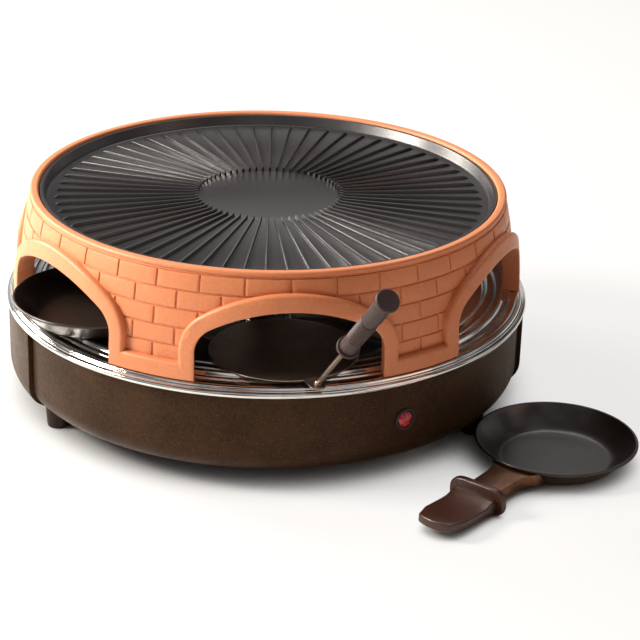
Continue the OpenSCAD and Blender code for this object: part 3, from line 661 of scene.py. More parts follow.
@dataclass(frozen=True)
class Finish:
    """A surface: two tones of one colour, its gloss and its fine relief."""

    name: str
    tone: str
    other_tone: str
    rough: float = 0.5
    rough_spread: float = 0.08
    metal: float = 0.0
    scale: float = 20.0
    fine_scale: float = 300.0
    grain: float = 0.15
    grain_scale: float = 1500.0
    wave: float = 0.05
    wave_scale: float = 60.0
    specular: float = 0.5
    coat: float = 0.0
    coat_rough: float = 0.1
    flakes: float = 0.0
    flake_scale: float = 900.0
    flake_tone: str = "c79a55"
    turned: float = 0.0
    turned_lines: float = 900.0
    glow: float = 0.0

    def build(self) -> bpy.types.Material:
        """Makes the material.

        Returns:
            The material, with its shader and effects wired up.
        """
        material = bpy.data.materials.new(self.name)
        material.use_nodes = True
        graph = Graph(material.node_tree)
        shader = material.node_tree.nodes["Principled BSDF"]
        mottle = self._use(graph, Effect.MOTTLE, {
            "Tone": rgb(self.tone), "Other tone": rgb(self.other_tone),
            "Scale": self.scale, "Fine scale": self.fine_scale})
        colour = mottle["Color"]
        if self.flakes:
            speckle = self._use(graph, Effect.SPECKLE, {"Scale": self.flake_scale,
                                                        "Amount": self.flakes})
            colour = graph.add("Mix", {"Factor": speckle["Mask"], 6: colour,
                                       7: rgb(self.flake_tone)}, data_type="RGBA").outputs[2]
        gloss = graph.add("MapRange", {"To Min": self.rough - self.rough_spread,
                                       "To Max": self.rough + self.rough_spread,
                                       "Value": mottle["Mask"]})
        normal = self._use(graph, Effect.GRAIN, {
            "Grain": self.grain, "Grain scale": self.grain_scale,
            "Wave": self.wave, "Wave scale": self.wave_scale})["Normal"]
        if self.turned:
            rings = self._use(graph, Effect.RINGS, {"Lines": self.turned_lines})
            normal = graph.add("Bump", {"Strength": self.turned, "Distance": 0.0001,
                                        "Height": rings["Height"],
                                        "Normal": normal}).outputs["Normal"]
        graph.feed(shader, {
            "Base Color": colour, "Roughness": gloss.outputs["Result"], "Normal": normal,
            "Metallic": self.metal, "Specular IOR Level": self.specular,
            "Coat Weight": self.coat, "Coat Roughness": self.coat_rough})
        if self.glow:
            graph.feed(shader, {"Emission Strength": self.glow, "Emission Color": colour})
        return material

    @staticmethod
    def _use(graph: Graph, effect: Effect, inputs: Inputs) -> bpy.types.NodeOutputs:
        """Places an effect in a material.

        Args:
            graph: The material's nodes.
            effect: The effect.
            inputs: What its inputs are fed with.

        Returns:
            The group node's outputs.
        """
        return graph.add("Group", inputs, node_tree=EFFECTS.get(effect)).outputs


class Finishes:
    """Every finish of the pizza maker, by the record's material slot."""

    TABLE = {
        "terracotta": Finish("fired_terracotta", "db8c61", "d08056", 0.46, 0.05, scale=9,
                             fine_scale=420, grain=0.35, grain_scale=1400, wave=0.12,
                             wave_scale=45, specular=0.4, coat=0.1, coat_rough=0.35),
        "powder_coat": Finish("brown_flecked_coat", "3a2717", "301f12", 0.48, 0.05, 0.5, scale=25,
                              grain=0.6, grain_scale=1100, wave=0.05, flakes=0.16,
                              flake_scale=1500, flake_tone="6f5535", specular=0.2),
        "cover_steel": Finish("zinc_plate", "9a9c9e", "8c8f92", 0.42, 0.08, 0.9, scale=14,
                              grain=0.15, turned=0.1),
        "foot_plastic": Finish("brown_foot_plastic", "241009", "1b0c07", 0.6, 0.05, specular=0.2),
        "fastener_steel": Finish("bright_fastener_steel", "a9aaac", "97999b", 0.32, 0.08, 0.95),
        "gland_plastic": Finish("black_gland_plastic", "1a1918", "141312", 0.5, 0.06),
        "bezel_plastic": Finish("black_bezel_plastic", "1c1413", "160f0e", 0.36, 0.05),
        "lens_red": Finish("red_lens", "a80d22", "8a0a1b", 0.14, 0.03, scale=260,
                           fine_scale=900, grain=0.02, coat=0.6, coat_rough=0.06, glow=0.1),
        "lamp_holder_plastic": Finish("cream_holder_plastic", "d8cfb8", "cdc3aa", 0.5),
        "reflector_aluminium": Finish("rolled_aluminium", "b9babc", "a9abad", 0.26, 0.06, 0.95,
                                      grain=0.1, turned=0.15),
        "tray_steel": Finish("mirror_tray_steel", "dbd9d6", "cfcdcb", 0.06, 0.025, 1.0, scale=12,
                             fine_scale=160, grain=0.03, wave=0.08, wave_scale=22,
                             turned=0.06),
        "element_sheath": Finish("annealed_sheath", "55504c", "3f3a38", 0.5, 0.1, 0.7,
                                 scale=40, grain=0.3),
        "insulator_ceramic": Finish("white_insulator", "d9d5ca", "cdc8bb", 0.45),
        "lead_insulation": Finish("braided_lead_sleeve", "b0552f", "9d4826", 0.7, grain=0.6,
                                  grain_scale=900),
        "column_steel": Finish("drawn_column_steel", "bfbdb9", "b0aeab", 0.24, 0.06, 1.0,
                               grain=0.08, turned=0.05),
        "grill_coating": Finish("non_stick_grill_coating", "252124", "1d1a1c", 0.33, 0.05,
                                scale=18, grain=0.5, grain_scale=1300, wave=0.06,
                                specular=0.6, coat=0.15, coat_rough=0.22),
        "pan_coating": Finish("non_stick_pan_coating", "241a14", "1b130f", 0.36, 0.05,
                              scale=22, grain=0.35, grain_scale=1500, specular=0.55,
                              coat=0.2, coat_rough=0.2),
        "bracket_steel": Finish("heat_tinted_steel", "7c5a42", "5d4030", 0.34, 0.06, 0.85,
                                scale=35, grain=0.15),
        "bakelite": Finish("brown_handle_plastic", "3d2015", "331a11", 0.34, 0.04, scale=18,
                           grain=0.15, coat=0.12, coat_rough=0.25),
        "spatula_steel": Finish("ground_spatula_steel", "93857a", "84776c", 0.36, 0.06, 0.95,
                                grain=0.1, turned=0.08),
        "grip_plastic": Finish("dark_grip_plastic", "331a18", "291514", 0.5, 0.04, scale=24,
                               grain=0.2),
    }

    def __init__(self) -> None:
        """Builds every material."""
        self.made = {slot: finish.build() for slot, finish in self.TABLE.items()}

    def dress(self, piece: Piece, slot: str) -> None:
        """Gives a piece the finish of a slot.

        Args:
            piece: The object to dress.
            slot: The record's material slot.
        """
        materials = piece.data.materials
        for i in range(len(materials)):
            materials[i] = self.made[slot]
        if not materials:
            materials.append(self.made[slot])

    def dress_nodes(self) -> None:
        """Gives every CAD node the finish of the slot that the record names."""
        for row in frame["record"]["subparts"]:
            self.dress(frame["nodes"][row["node"]], row["material_slot"])


@dataclass
class Assembly:
    """What the sub-assemblies share: their finishes and the way a piece is handed over."""

    finishes: Finishes

    def hand_over(self, piece: Piece, body: str, slot: str,
                  stands_for: Sequence[str] = (), smooth: float = 32.0) -> Piece:
        """Shades, dresses and attaches a finished piece.

        Args:
            piece: The finished object.
            body: The CAD body that it moves with.
            slot: The record's material slot of its finish.
            stands_for: CAD nodes that it is shown in place of.
            smooth: Angle above which edges stay crisp, in degrees.

        Returns:
            The same object.
        """
        Bench.smooth(piece, smooth)
        self.finishes.dress(piece, slot)
        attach(piece, body)
        if stands_for:
            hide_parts(*stands_for)
        log.info("%s: %d faces on %s", piece.name, len(piece.data.polygons), body)
        return piece


# ---------------------------------------------------------------- the base


@dataclass
class Base(Assembly):
    """The round base: shell with grips, feet, pilot lamp, cord bush and baking tray."""

    radius: float = 205.0
    wall: float = 1.5
    fillet: float = 19.0
    low: float = 14.0
    top: float = 84.5
    hole_radius: float = 148.0
    flange: float = 8.0
    top_round: float = 0.4
    grip_top: float = 79.2
    grip_proud: float = 3.5
    grip_angle: float = 38.0
    grip_round: float = 1.6
    grip_end_round: float = 2.2
    grip_azimuths: tuple[float, ...] = (-86.0, 94.0)
    foot_azimuths: tuple[float, ...] = (55.0, 175.0, 295.0)
    foot_radius: float = 188.0
    lamp_azimuth: float = 25.3
    lamp_height: float = 50.0
    inlet_azimuth: float = 150.0
    inlet_height: float = 40.0

    def build(self) -> None:
        """Models and hands over every piece of the base."""
        self._shell()
        self._feet()
        self._lamp()
        self._cord_bush()
        self._tray()

    def _section(self) -> list[Point2]:
        """Section of the shell's wall with its rounded lower edge, from the inside round."""
        centre = (self.radius - self.fillet, self.low + self.fillet)
        inner, under = self.radius - self.wall, self.top - self.wall
        return [(self.hole_radius, self.low + self.wall), (self.hole_radius, self.low),
                *arc(centre, self.fillet, -90, 0, 16),
                *arc((self.radius - self.top_round, self.top - self.top_round),
                     self.top_round, 0, 90, 3),
                (inner - self.flange, self.top), (inner - self.flange, under),
                (inner, under), *arc(centre, self.fillet - self.wall, 0, -90, 12)]

    def _shell(self) -> None:
        """The shell and its two grips, one pressing."""
        pieces = [Bench.lathe("base_pressing", self._section(), 240)]
        pieces += [self._grip(azimuth) for azimuth in self.grip_azimuths]
        self.hand_over(Bench.weld("base_pressing", pieces), "base", "powder_coat",
                       ["base_shell"], 28)

    def _grip(self, azimuth: float) -> Piece:
        """Models one grip, a step of the wall outwards with rounded ends.

        Args:
            azimuth: Where its middle is, in degrees.

        Returns:
            The grip.
        """
        radius, edge = self.radius + self.grip_proud, self.grip_round
        fillet = (radius - self.fillet, self.low + self.fillet)
        section = [(radius - 20, self.low + 0.02),
                   *arc(fillet, self.fillet - 0.02, -90, 0, 16),
                   *arc((radius - edge, self.grip_top - edge), edge, 0, 90, 4),
                   (radius - 6, self.grip_top), (radius - 6, self.low + 22),
                   (radius - 20, self.low + 8)]
        grip = Bench.lathe("grip", section, 44, self.grip_angle, azimuth - self.grip_angle / 2)
        half = math.radians(self.grip_angle / 2)
        inside, outside = (radius - 18.5) * MM, (self.radius - 0.5) * MM

        def at_end(a: Vector, b: Vector) -> bool:
            """Whether an edge lies on the outer side of one of the grip's end faces."""
            for p in (a, b):
                angle = math.atan2(p.x, -p.y) - math.radians(azimuth)
                if abs(abs(angle) - half) > 1e-4 or p.xy.length < inside:
                    return False
            return max(a.xy.length, b.xy.length) > outside

        with Bench.editing(grip, "EDGE"):
            Bench.pick(grip, "EDGE", at_end)
            Bench.bevel(self.grip_end_round, 4)
        return grip

    def _feet(self) -> None:
        """Three turned feet whose tops reach into the shell."""
        profile = eased([(0, 0.6, 0), (3.9, 0.6, 0.4), (4.6, 0, 0.5), (7.9, 0, 0.8),
                         (8.3, 1.2, 0.8), (9.15, 12.1, 2), (9.3, 20.5, 0), (0, 20.5, 0)],
                        closed=False)
        pattern = Bench.lathe("foot", profile, 40)
        feet = [Bench.copy(pattern, f"foot_{i}",
                           polar(azimuth) @ move(0, -self.foot_radius, 0))
                for i, azimuth in enumerate(self.foot_azimuths)]
        Bench.drop(pattern)
        self.hand_over(Bench.weld("turned_feet", feet), "base", "foot_plastic", ["feet"])

    def _on_side(self, azimuth: float, height: float) -> Matrix:
        """Turns a piece made round Z so that Z points out of the shell's side."""
        return (polar(azimuth) @ move(0, -self.radius, height)
                @ Matrix.Rotation(math.radians(90), 4, "X"))

    def _lamp(self) -> None:
        """The pilot lamp's bezel, and its domed lens with small facets inside its edge."""
        place = self._on_side(self.lamp_azimuth, self.lamp_height)
        bezel = Bench.lathe("lamp_bezel", eased([
            (6.6, -9, 0.3), (7.6, -9, 0.3), (7.6, 0.02, 0), (8.6, 0.02, 0.15),
            (8.6, 1.1, 0.5), (7.8, 1.6, 0.4), (6.6, 1.35, 0.3)]), 64)
        self.hand_over(Bench.place(bezel, place), "base", "bezel_plastic", ["pilot_bezel"])
        dome = 7.6
        lens = Bench.lathe("lamp_lens", [
            (0, -5), (5.8, -5), (6.4, -4.6), (6.4, 0.5), (6.25, 0.9),
            *[(dome * math.sin(math.radians(a)), 4.0 - dome + dome * math.cos(math.radians(a)))
              for a in (50, 44, 38, 32, 26, 20, 14, 8)], (0, 4.0)], 64)
        self.hand_over(Bench.place(lens, place), "base", "lens_red", ["pilot_lens"])

    def _cord_bush(self) -> None:
        """The bush of the cord inlet, a ribbed nose round an open bore."""
        ribs = [(5.1 - 0.12 * i + (0.5 if i % 2 else 0), 3.3 + 0.8 * i) for i in range(8)]
        bush = Bench.lathe("cord_bush", [
            (3.6, -10), (6.8, -10), (6.8, 0.3), (8.9, 0.3), (9.4, 0.8), (9.4, 2.4), (8.9, 3.0),
            (6.9, 3.1), *ribs, (4.9, 10), (3.6, 10)], 64)
        self.hand_over(Bench.place(bush, self._on_side(self.inlet_azimuth, self.inlet_height)),
                       "base", "gland_plastic", ["cord_gland"])

    def _tray(self) -> None:
        """The polished tray: rolled edge, fine beads, the ring's seat and the baking floor."""
        top = [(4.3, 90.9), (172.1, 90.9), (172.9, 90.6), (173.7, 90.4), (174.6, 90.4),
               (175.4, 90.6), (176.1, 90.9), (180.9, 90.9), (181.8, 90.55), (182.6, 90.4),
               (183.6, 90.4), (184.4, 90.55), (185.3, 90.9), (188.7, 90.9), (189.9, 90.75),
               (190.6, 90.3), (191.6, 88.6), (192.3, 87.9), (193.3, 87.7), (194.0, 88.0),
               (194.6, 88.45), (195.2, 88.6), (195.8, 88.45), (196.5, 87.7), (197.1, 87.15),
               (198.3, 87.1), (199.1, 87.4), (202.9, 87.4), (203.5, 86.95), (204.0, 86.75),
               (204.5, 86.9), (205.1, 87.05), (205.6, 86.8), (205.95, 86.3), (206.0, 85.8),
               (206.3, 85.4), (206.9, 85.25), (207.3, 84.95), (207.35, 84.5)]
        bead = arc((207.6, 81.9), 2.4, 84, -90, 20)
        under = [(206.9, 79.7), (206.6, 80.6), (206.9, 83.0), (205.6, 85.2), (203.4, 85.3),
                 (198.7, 85.9), (192.7, 86.3), (190.4, 88.8), (188.7, 89.7), (4.3, 89.7)]
        tray = Bench.lathe("polished_tray", [*top, *bead, *under], 320)
        self.hand_over(tray, "base", "tray_steel", ["baking_tray"], 50)


# ---------------------------------------------------------------- the terracotta ring


@dataclass
class TerracottaRing(Assembly):
    """The ring: brick relief, framed arches and a rolled lip, modelled flat and then bent."""

    foot: float = 87.7
    seat: float = 87.4
    lip_foot: float = 166.0
    flat_radius: float = 197.8
    side_radius: float = 328.0
    openings: int = 6
    spring: float = 108.9
    half_width: float = 69.5
    rise: float = 34.5
    corner: float = 22.0
    frame_side: float = 8.5
    frame_top: float = 10.0
    frame_proud: float = 6.35
    flank: float = 3.6
    flank_profile: float = 0.36
    edge_round: float = 1.2
    splay: float = 1.0725
    wall: float = 7.4
    panel_wall: float = 7.0
    thin_from: float = 155.0
    thin_by: float = 2.6
    band_top: float = 96.6
    brick_rows: int = 5
    brick_height: float = 13.8
    mortar: float = 1.2
    brick_proud: float = 1.0
    brick_depth: float = 2.0
    brick_round: float = 0.8
    slices: int = 40
    levels: int = 12

    def build(self) -> None:
        """Models one sixth flat, bends it, repeats it and adds the lip."""
        sixth = Bench.weld("sixth", [self._frame(), self._panel(), self._bricks()])
        self._bend(sixth)
        ring = Bench.ring_of(sixth, "brick_ring", self.openings)
        Bench.heal(ring, 2e-5)
        ring = Bench.weld("brick_ring", [ring, self._lip()])
        self.hand_over(ring, "ring", "terracotta", ["terracotta_ring"], 30)

    @property
    def half_length(self) -> float:
        """Half of the length of one sixth of the ring, laid flat."""
        return math.pi * self.flat_radius / self.openings

    def _flat(self, x: float, z: float, depth: float) -> Point2:
        """Where a point of the finished ring lies on the flat model.

        Args:
            x: Sideways distance from the opening's centre plane.
            z: Height.
            depth: Depth behind the panel's face, negative outside it.

        Returns:
            Its x and z on the flat model.
        """
        lean = math.asin((z - self.seat) / (self.side_radius - depth))
        radius = (self.flat_radius - self.side_radius
                  + (self.side_radius - depth) * math.cos(lean))
        return (self.flat_radius * math.asin(max(-1, min(1, x / radius))),
                self.seat + self.side_radius * lean)

    def _arch(self, grow: float, depth: float, foot: float) -> list[Point2]:
        """Outline of an opening on the flat model, from its left foot over to its right.

        Args:
            grow: How far the outline lies outside the opening, as a share of the frame.
            depth: Depth at which the outline is wanted.
            foot: Height of its feet.

        Returns:
            The outline's points.
        """
        side = grow * self.frame_side + max(0, grow - 0.5) * 2 * self.flank
        top = side + grow * (self.frame_top - self.frame_side)
        half, rise, corner = self.half_width + side, self.rise + top, self.corner + side
        centre_x = half - corner
        crown = (centre_x ** 2 + rise ** 2 - corner ** 2) / (2 * (rise - corner))
        crown_z = self.spring + rise - crown
        lean = math.degrees(math.atan2(self.spring - crown_z, centre_x))
        right = [*((half, foot + (self.spring - foot) * i / 4) for i in range(4)),
                 *arc((centre_x, self.spring), corner, 0, lean, 12),
                 *arc((0, crown_z), crown, lean, 90, 16)[1:]]
        left = [(-x, z) for x, z in reversed(right[:-1])]
        return [self._flat(x, z, depth) for x, z in reversed(right + left)]

    def _frame(self) -> Piece:
        """The raised moulding round the opening and along the foot of the two half legs."""
        half, front = self.half_length, -self.frame_proud
        band_top = self.band_top + self.flank
        inner = self._arch(0, front, self.foot)
        outline = [(-half, self.foot), (-half, band_top), *self._arch(1, front, band_top),
                   (half, band_top), (half, self.foot), *reversed(inner)]
        piece = Bench.prism("frame", outline, front, self.wall, "Y")
        opening = {(round(x, 3), round(z, 3)) for x, z in inner}

        def in_opening(c: Vector) -> bool:
            """Whether a vertex lies on the opening's outline."""
            return (round(c.x / MM, 3), round(c.z / MM, 3)) in opening

        def on_front(a: Vector, b: Vector) -> bool:
            """Whether an edge lies in the front face."""
            return max(abs(a.y - front * MM), abs(b.y - front * MM)) < 1e-7

        def rounded(a: Vector, b: Vector) -> bool:
            """Whether an edge of the front face borders the opening."""
            return on_front(a, b) and in_opening(a) and in_opening(b)

        def sloped(a: Vector, b: Vector) -> bool:
            """Whether an edge of the front face borders the panel: not at foot or seam."""
            on_foot = min(a.z, b.z) < self.foot * MM + 1e-4
            at_seam = min(abs(a.x), abs(b.x)) > half * MM - TIGHT and a.x * b.x > 0
            return (on_front(a, b) and not on_foot and not at_seam
                    and not (in_opening(a) or in_opening(b)))

        with Bench.editing(piece):
            Bench.pick(piece, "VERT", lambda c: c.y > 0 and in_opening(c))
            bpy.ops.transform.resize(value=(self.splay, 1, 1), center_override=(0, 0, 0))
            Bench.pick(piece, "EDGE", sloped)
            Bench.bevel(self.flank, 5, self.flank_profile)
            Bench.pick(piece, "EDGE", rounded)
            Bench.bevel(self.edge_round, 3)
        return piece

    def _panel(self) -> Piece:
        """The wall behind the bricks, with its opening hidden in the frame."""
        half, top = self.half_length, self.lip_foot + 0.6
        outline = [(-half, self.foot), (-half, top), (half, top), (half, self.foot),
                   *reversed(self._arch(0.5, 0, self.foot))]
        panel = Bench.prism("panel", outline, 0, self.panel_wall, "Y")
        thin, back = (self.thin_from - 0.1) * MM, (self.panel_wall - 0.1) * MM
        with Bench.editing(panel):
            for z in (self.thin_from - 5, self.thin_from):
                Bench.slice((0, 0, z), (0, 0, 1))
            Bench.pick(panel, "VERT", lambda c: c.z > thin and c.y > back)
            Bench.shift(0, -self.thin_by, 0)
        return panel

    def _bricks(self) -> Piece:
        """Raised bricks in running bond, cut off inside the frame."""
        length = 2 * self.half_length / 6
        size = (length - self.mortar, self.brick_depth, self.brick_height - self.mortar)
        pattern = Bench.block("brick", size, (0, self.brick_depth / 2 - self.brick_proud, 0))
        front = -self.brick_proud * MM
        with Bench.editing(pattern, "EDGE"):
            Bench.pick(pattern, "EDGE",
                       lambda a, b: max(abs(a.y - front), abs(b.y - front)) < TIGHT)
            Bench.bevel(self.brick_round, 2, 0.6)
        rows = []
        for row in range(self.brick_rows):
            z = self._flat(0, self.lip_foot - (row + 0.5) * self.brick_height, 0)[1]
            shift = 0.5 if row % 2 == 0 else 0.0
            for i in range(-4, 4):
                x = (i + shift) * length
                if abs(x) < self.half_length + length * 0.6:
                    rows.append(Bench.copy(pattern, "brick_copy", move(x, 0, z)))
        Bench.drop(pattern)
        bricks = Bench.weld("bricks", rows)
        opening = Bench.prism("opening", self._arch(0.5, 0, self.foot - 8), -4, 9, "Y")
        Bench.cut(bricks, opening)
        with Bench.editing(bricks):
            for side in (-1, 1):
                Bench.slice((side * self.half_length, 0, 0), (side, 0, 0), clear=True)
        return bricks

    def _bend(self, piece: Piece) -> None:
        """Slices the flat model, curves its side in towards the lip and bends it round.

        Args:
            piece: One sixth of the ring, flat. Its panel's face lies in the plane y = 0.
        """
        half = self.half_length
        with Bench.editing(piece, "FACE"):
            Bench.pick(piece, "FACE", lambda c, n: abs(abs(c.x) - half * MM) < TIGHT)
            bpy.ops.mesh.delete(type="FACE")
            for i in range(1, self.slices):
                Bench.slice((half * (2 * i / self.slices - 1), 0, 0), (1, 0, 0))
            for i in range(1, self.levels):
                Bench.slice((0, 0, self.foot + (self.lip_foot - self.foot) * i / self.levels),
                            (0, 0, 1))
        Bench.place(piece, move(0, 0, -self.seat))
        heights = [v.co.z for v in piece.data.vertices]
        lean = (max(heights) - min(heights)) / (self.side_radius * MM)
        for axis, angle in (("X", lean), ("Z", math.radians(360 / self.openings))):
            Bench.finish_with(piece, "SIMPLE_DEFORM", deform_method="BEND", deform_axis=axis,
                              angle=angle)
        Bench.place(piece, move(0, -self.flat_radius, self.seat))

    def _lip(self) -> Piece:
        """The band and roll round the top, with the ledge that carries the grill plate."""
        outside = [(186.4, 163.5), (188.3, 165.2), (188.75, 165.9), (188.5, 166.5),
                   (188.3, 167.1), (188.55, 167.6), *arc((187.1, 168.5), 2.2, -18, 90, 8),
                   (185.0, 170.7)]
        inside = [*arc((184.5, 168.5), 2.2, 90, 180, 6), (182.3, 156.8), (181.9, 156.2),
                  (173.3, 156.2), (172.7, 155.6), (172.7, 149.0), (173.5, 148.3), (181.5, 146.0),
                  (186.2, 146.0), (186.4, 156.0)]
        return Bench.lathe("lip", [*outside, *inside], 240)


# ---------------------------------------------------------------- the grill plate


@dataclass
class GrillPlate(Assembly):
    """The cast plate with radial ribs round a smooth centre."""

    radius: float = 181.7
    under: float = 156.5
    floor: float = 160.7
    edge_top: float = 169.1
    ribs: int = 64
    rib_start: float = 57.0
    rib_end: float = 171.5
    rib_width: float = 2.4
    rib_height: float = 2.4
    rib_taper: float = 0.55
    tooth: float = 0.8

    def build(self) -> None:
        """Models the plate and its ribs as one casting."""
        disc = Bench.lathe("disc", [
            (0, self.floor + 0.35), (54.8, self.floor + 0.35), (55.6, self.floor + 0.15),
            (56.0, self.floor), (174.2, self.floor), (175.6, self.floor + 0.4),
            (176.6, self.floor + 1.6), (178.1, self.edge_top - 0.7),
            (178.6, self.edge_top - 0.1), (179.3, self.edge_top), (180.9, self.edge_top),
            (181.5, self.edge_top - 0.3), (self.radius, self.edge_top - 1.0),
            (self.radius, self.under + 0.6), (self.radius - 0.6, self.under),
            (0, self.under)], 240)
        ribs = Bench.ring_of(self._rib(), "ribs", self.ribs)
        plate = Bench.weld("ribbed_plate", [disc, ribs])
        self.hand_over(plate, "grill", "grill_coating", ["grill_plate"], 35)

    def _rib(self) -> Piece:
        """One rib along -Y: a narrow ridge with a small tooth at its inner end."""
        start, end, floor = self.rib_start, self.rib_end, self.floor
        rib = Bench.block("rib", (self.rib_width, end - start, self.rib_height + 1),
                          (0, -(start + end) / 2, floor + self.rib_height / 2 - 0.5))
        top = (floor + self.rib_height) * MM - TIGHT
        with Bench.editing(rib):
            for y in (start + 2.6, start + 3.8, end - 5):
                Bench.slice((0, -y, 0), (0, 1, 0))
            Bench.pick(rib, "VERT", lambda c: c.z > top and -c.y < (start + 3) * MM)
            Bench.shift(0, 0, self.tooth)
            Bench.pick(rib, "VERT", lambda c: c.z > top and -c.y > (end - 1) * MM)
            Bench.shift(0, 1.5, -1.8)
            Bench.pick(rib, "VERT", lambda c: c.z > floor * MM)
            bpy.ops.transform.resize(value=(self.rib_taper, 1, 1))
            Bench.pick(rib, "EDGE", lambda a, b: min(a.z, b.z) > floor * MM
                       and abs(a.x - b.x) < TIGHT)
            Bench.bevel(0.5, 2)
        return rib


# ---------------------------------------------------------------- the small pans


@dataclass
class SmallPan(Assembly):
    """A small pan: dish, folded bracket, and a handle with a guard and a thumb rest."""

    prefix: str = "oven_pan"
    centre: tuple[float, float, float] = (0.0, 0.0, 0.0)
    turn: float = 0.0
    rim: float = 63.0
    height: float = 18.5
    floor: float = 44.0
    bead: float = 1.3
    sheet: float = 1.5
    guard_x: float = 104.0
    guard_t: float = 6.0
    guard_w: float = 47.5
    guard_h: float = 21.0
    paddle_l: float = 56.0
    paddle_w: float = 36.0
    paddle_t: float = 7.0
    paddle_z: float = 7.5
    paddle_tilt: float = 4.0
    thumb_rise: float = 3.4
    bracket_top: float = 15.0
    bracket_h: float = 9.0
    bracket_w: float = 25.0
    flare_w: float = 40.0

    def build(self) -> None:
        """Models the pan round its own centre and puts it in its place."""
        where = move(*self.centre) @ polar(self.turn)
        parts = {"dish": (self._dish(), "pan_coating"),
                 "bracket": (self._bracket(), "bracket_steel"),
                 "handle": (self._handle(), "bakelite")}
        for part, (piece, slot) in parts.items():
            piece.name = piece.data.name = f"{self.prefix}_{part}_piece"
            Bench.place(piece, where)
            self.hand_over(piece, self.prefix, slot, [f"{self.prefix}_{part}"], 40)

    def _dish(self) -> Piece:
        """The pressed dish with a rolled rim."""
        rim = self.rim - self.bead
        inner = self.sheet
        outside = eased([(0, 0, 0), (self.floor - 3, 0, 0), (self.floor, 0.05, 1.5),
                         (self.floor + 3.6, 2.2, 2.0), (rim - 1.4, self.height - 2.6, 0.5)],
                        closed=False)
        bead = arc((rim, self.height - self.bead), self.bead, -130, 160, 14)
        inside = eased([(rim - 2.1, self.height - 3.0, 0), (self.floor + 2.4, 3.6, 2.5),
                        (self.floor - 1.4, inner, 2.0), (20, inner, 0), (0, inner, 0)],
                       closed=False)
        return Bench.lathe("dish", [*outside, *bead, *inside], 128)

    def _bracket(self) -> Piece:
        """The channel between dish and guard, its sides flaring to the dish."""
        half_flare, half = self.flare_w / 2, self.bracket_w / 2
        side = [(self.floor, half_flare + 1.5), (self.rim - 6, half_flare),
                (self.rim - 2, half_flare - 2.6), (self.rim + 2, half_flare - 4.9),
                (self.rim + 7, half + 1.4), (self.rim + 13, half + 0.4),
                (self.guard_x + 1.5, half)]
        outline = side + [(x, -y) for x, y in reversed(side)]
        channel = Bench.prism("channel", outline, self.bracket_top - self.bracket_h,
                              self.bracket_top)
        with Bench.editing(channel, "FACE"):
            Bench.pick(channel, "FACE", lambda c, n: n.z < -0.9)
            bpy.ops.mesh.delete(type="FACE")
        Bench.finish_with(channel, "SOLIDIFY", thickness=self.sheet * MM, offset=-1,
                          use_even_offset=True)
        Bench.heal(channel)
        Bench.cut(channel, Bench.lathe("dish_room", [
            (0, -3), (42.6, -3), (47.4, 2.2), (61.2, 17.5), (66, 22), (0, 22)], 96))
        Bench.soften(channel, 0.7, 3, 50)
        return channel

    def _handle(self) -> Piece:
        """The guard plate and the paddle with its ridge and thumb rest."""
        w, h = self.guard_w / 2, self.guard_h / 2
        outline = eased([(-w, h, 13), (w, h, 13), (w, -h, 9), (-w, -h, 9)], steps=8)
        guard = Bench.prism("guard", outline, 0, self.guard_t)
        Bench.soften(guard, 1.8, 4, 60)
        turned = Matrix(((0, 0, 1, 0), (1, 0, 0, 0), (0, 1, 0, 0), (0, 0, 0, 1)))
        Bench.place(guard, move(self.guard_x, 0, h + 1) @ turned)
        half, tip = self.paddle_w / 2, self.paddle_w * 0.85
        reach = [(x, y) for x, y in arc((self.paddle_l - tip, 0), tip, -36, 36, 18)
                 if abs(y) < half - 2]
        shoulder = self.paddle_l - tip * 0.55
        outline = [(-4, -half), (shoulder, -half), *reach, (shoulder, half), (-4, half)]
        paddle = Bench.prism("paddle", outline, -self.paddle_t / 2, self.paddle_t / 2)
        lift = {2.0: 3.4, 5.5: 3.2, 7.5: 1.9, 12.0: 0.5, 18.0: -0.4, 27.0: -0.9, 36.0: -0.5,
                43.0: 0.0}
        with Bench.editing(paddle):
            for x in lift:
                Bench.slice((x, 0, 0), (1, 0, 0))
            for y in (-11, 0, 11):
                Bench.slice((0, y, 0), (0, 1, 0))
            for x, rise in lift.items():
                aside = (99 if rise > 0 else 12) * MM
                Bench.pick(paddle, "VERT", lambda c: c.z > 0 and abs(c.x - x * MM) < 1e-5
                           and abs(c.y) < aside)
                Bench.shift(0, 0, rise)
            Bench.pick(paddle, "VERT", lambda c: c.z > 0 and c.x < MM)
            Bench.shift(0, 0, self.thumb_rise)
        Bench.soften(paddle, 1.5, 4, 45)
        tilt = Matrix.Rotation(math.radians(-self.paddle_tilt), 4, "Y")
        Bench.place(paddle, move(self.guard_x + self.guard_t, 0, self.paddle_z) @ tilt)
        return Bench.weld("handle", [guard, paddle])


# ---------------------------------------------------------------- the spatula


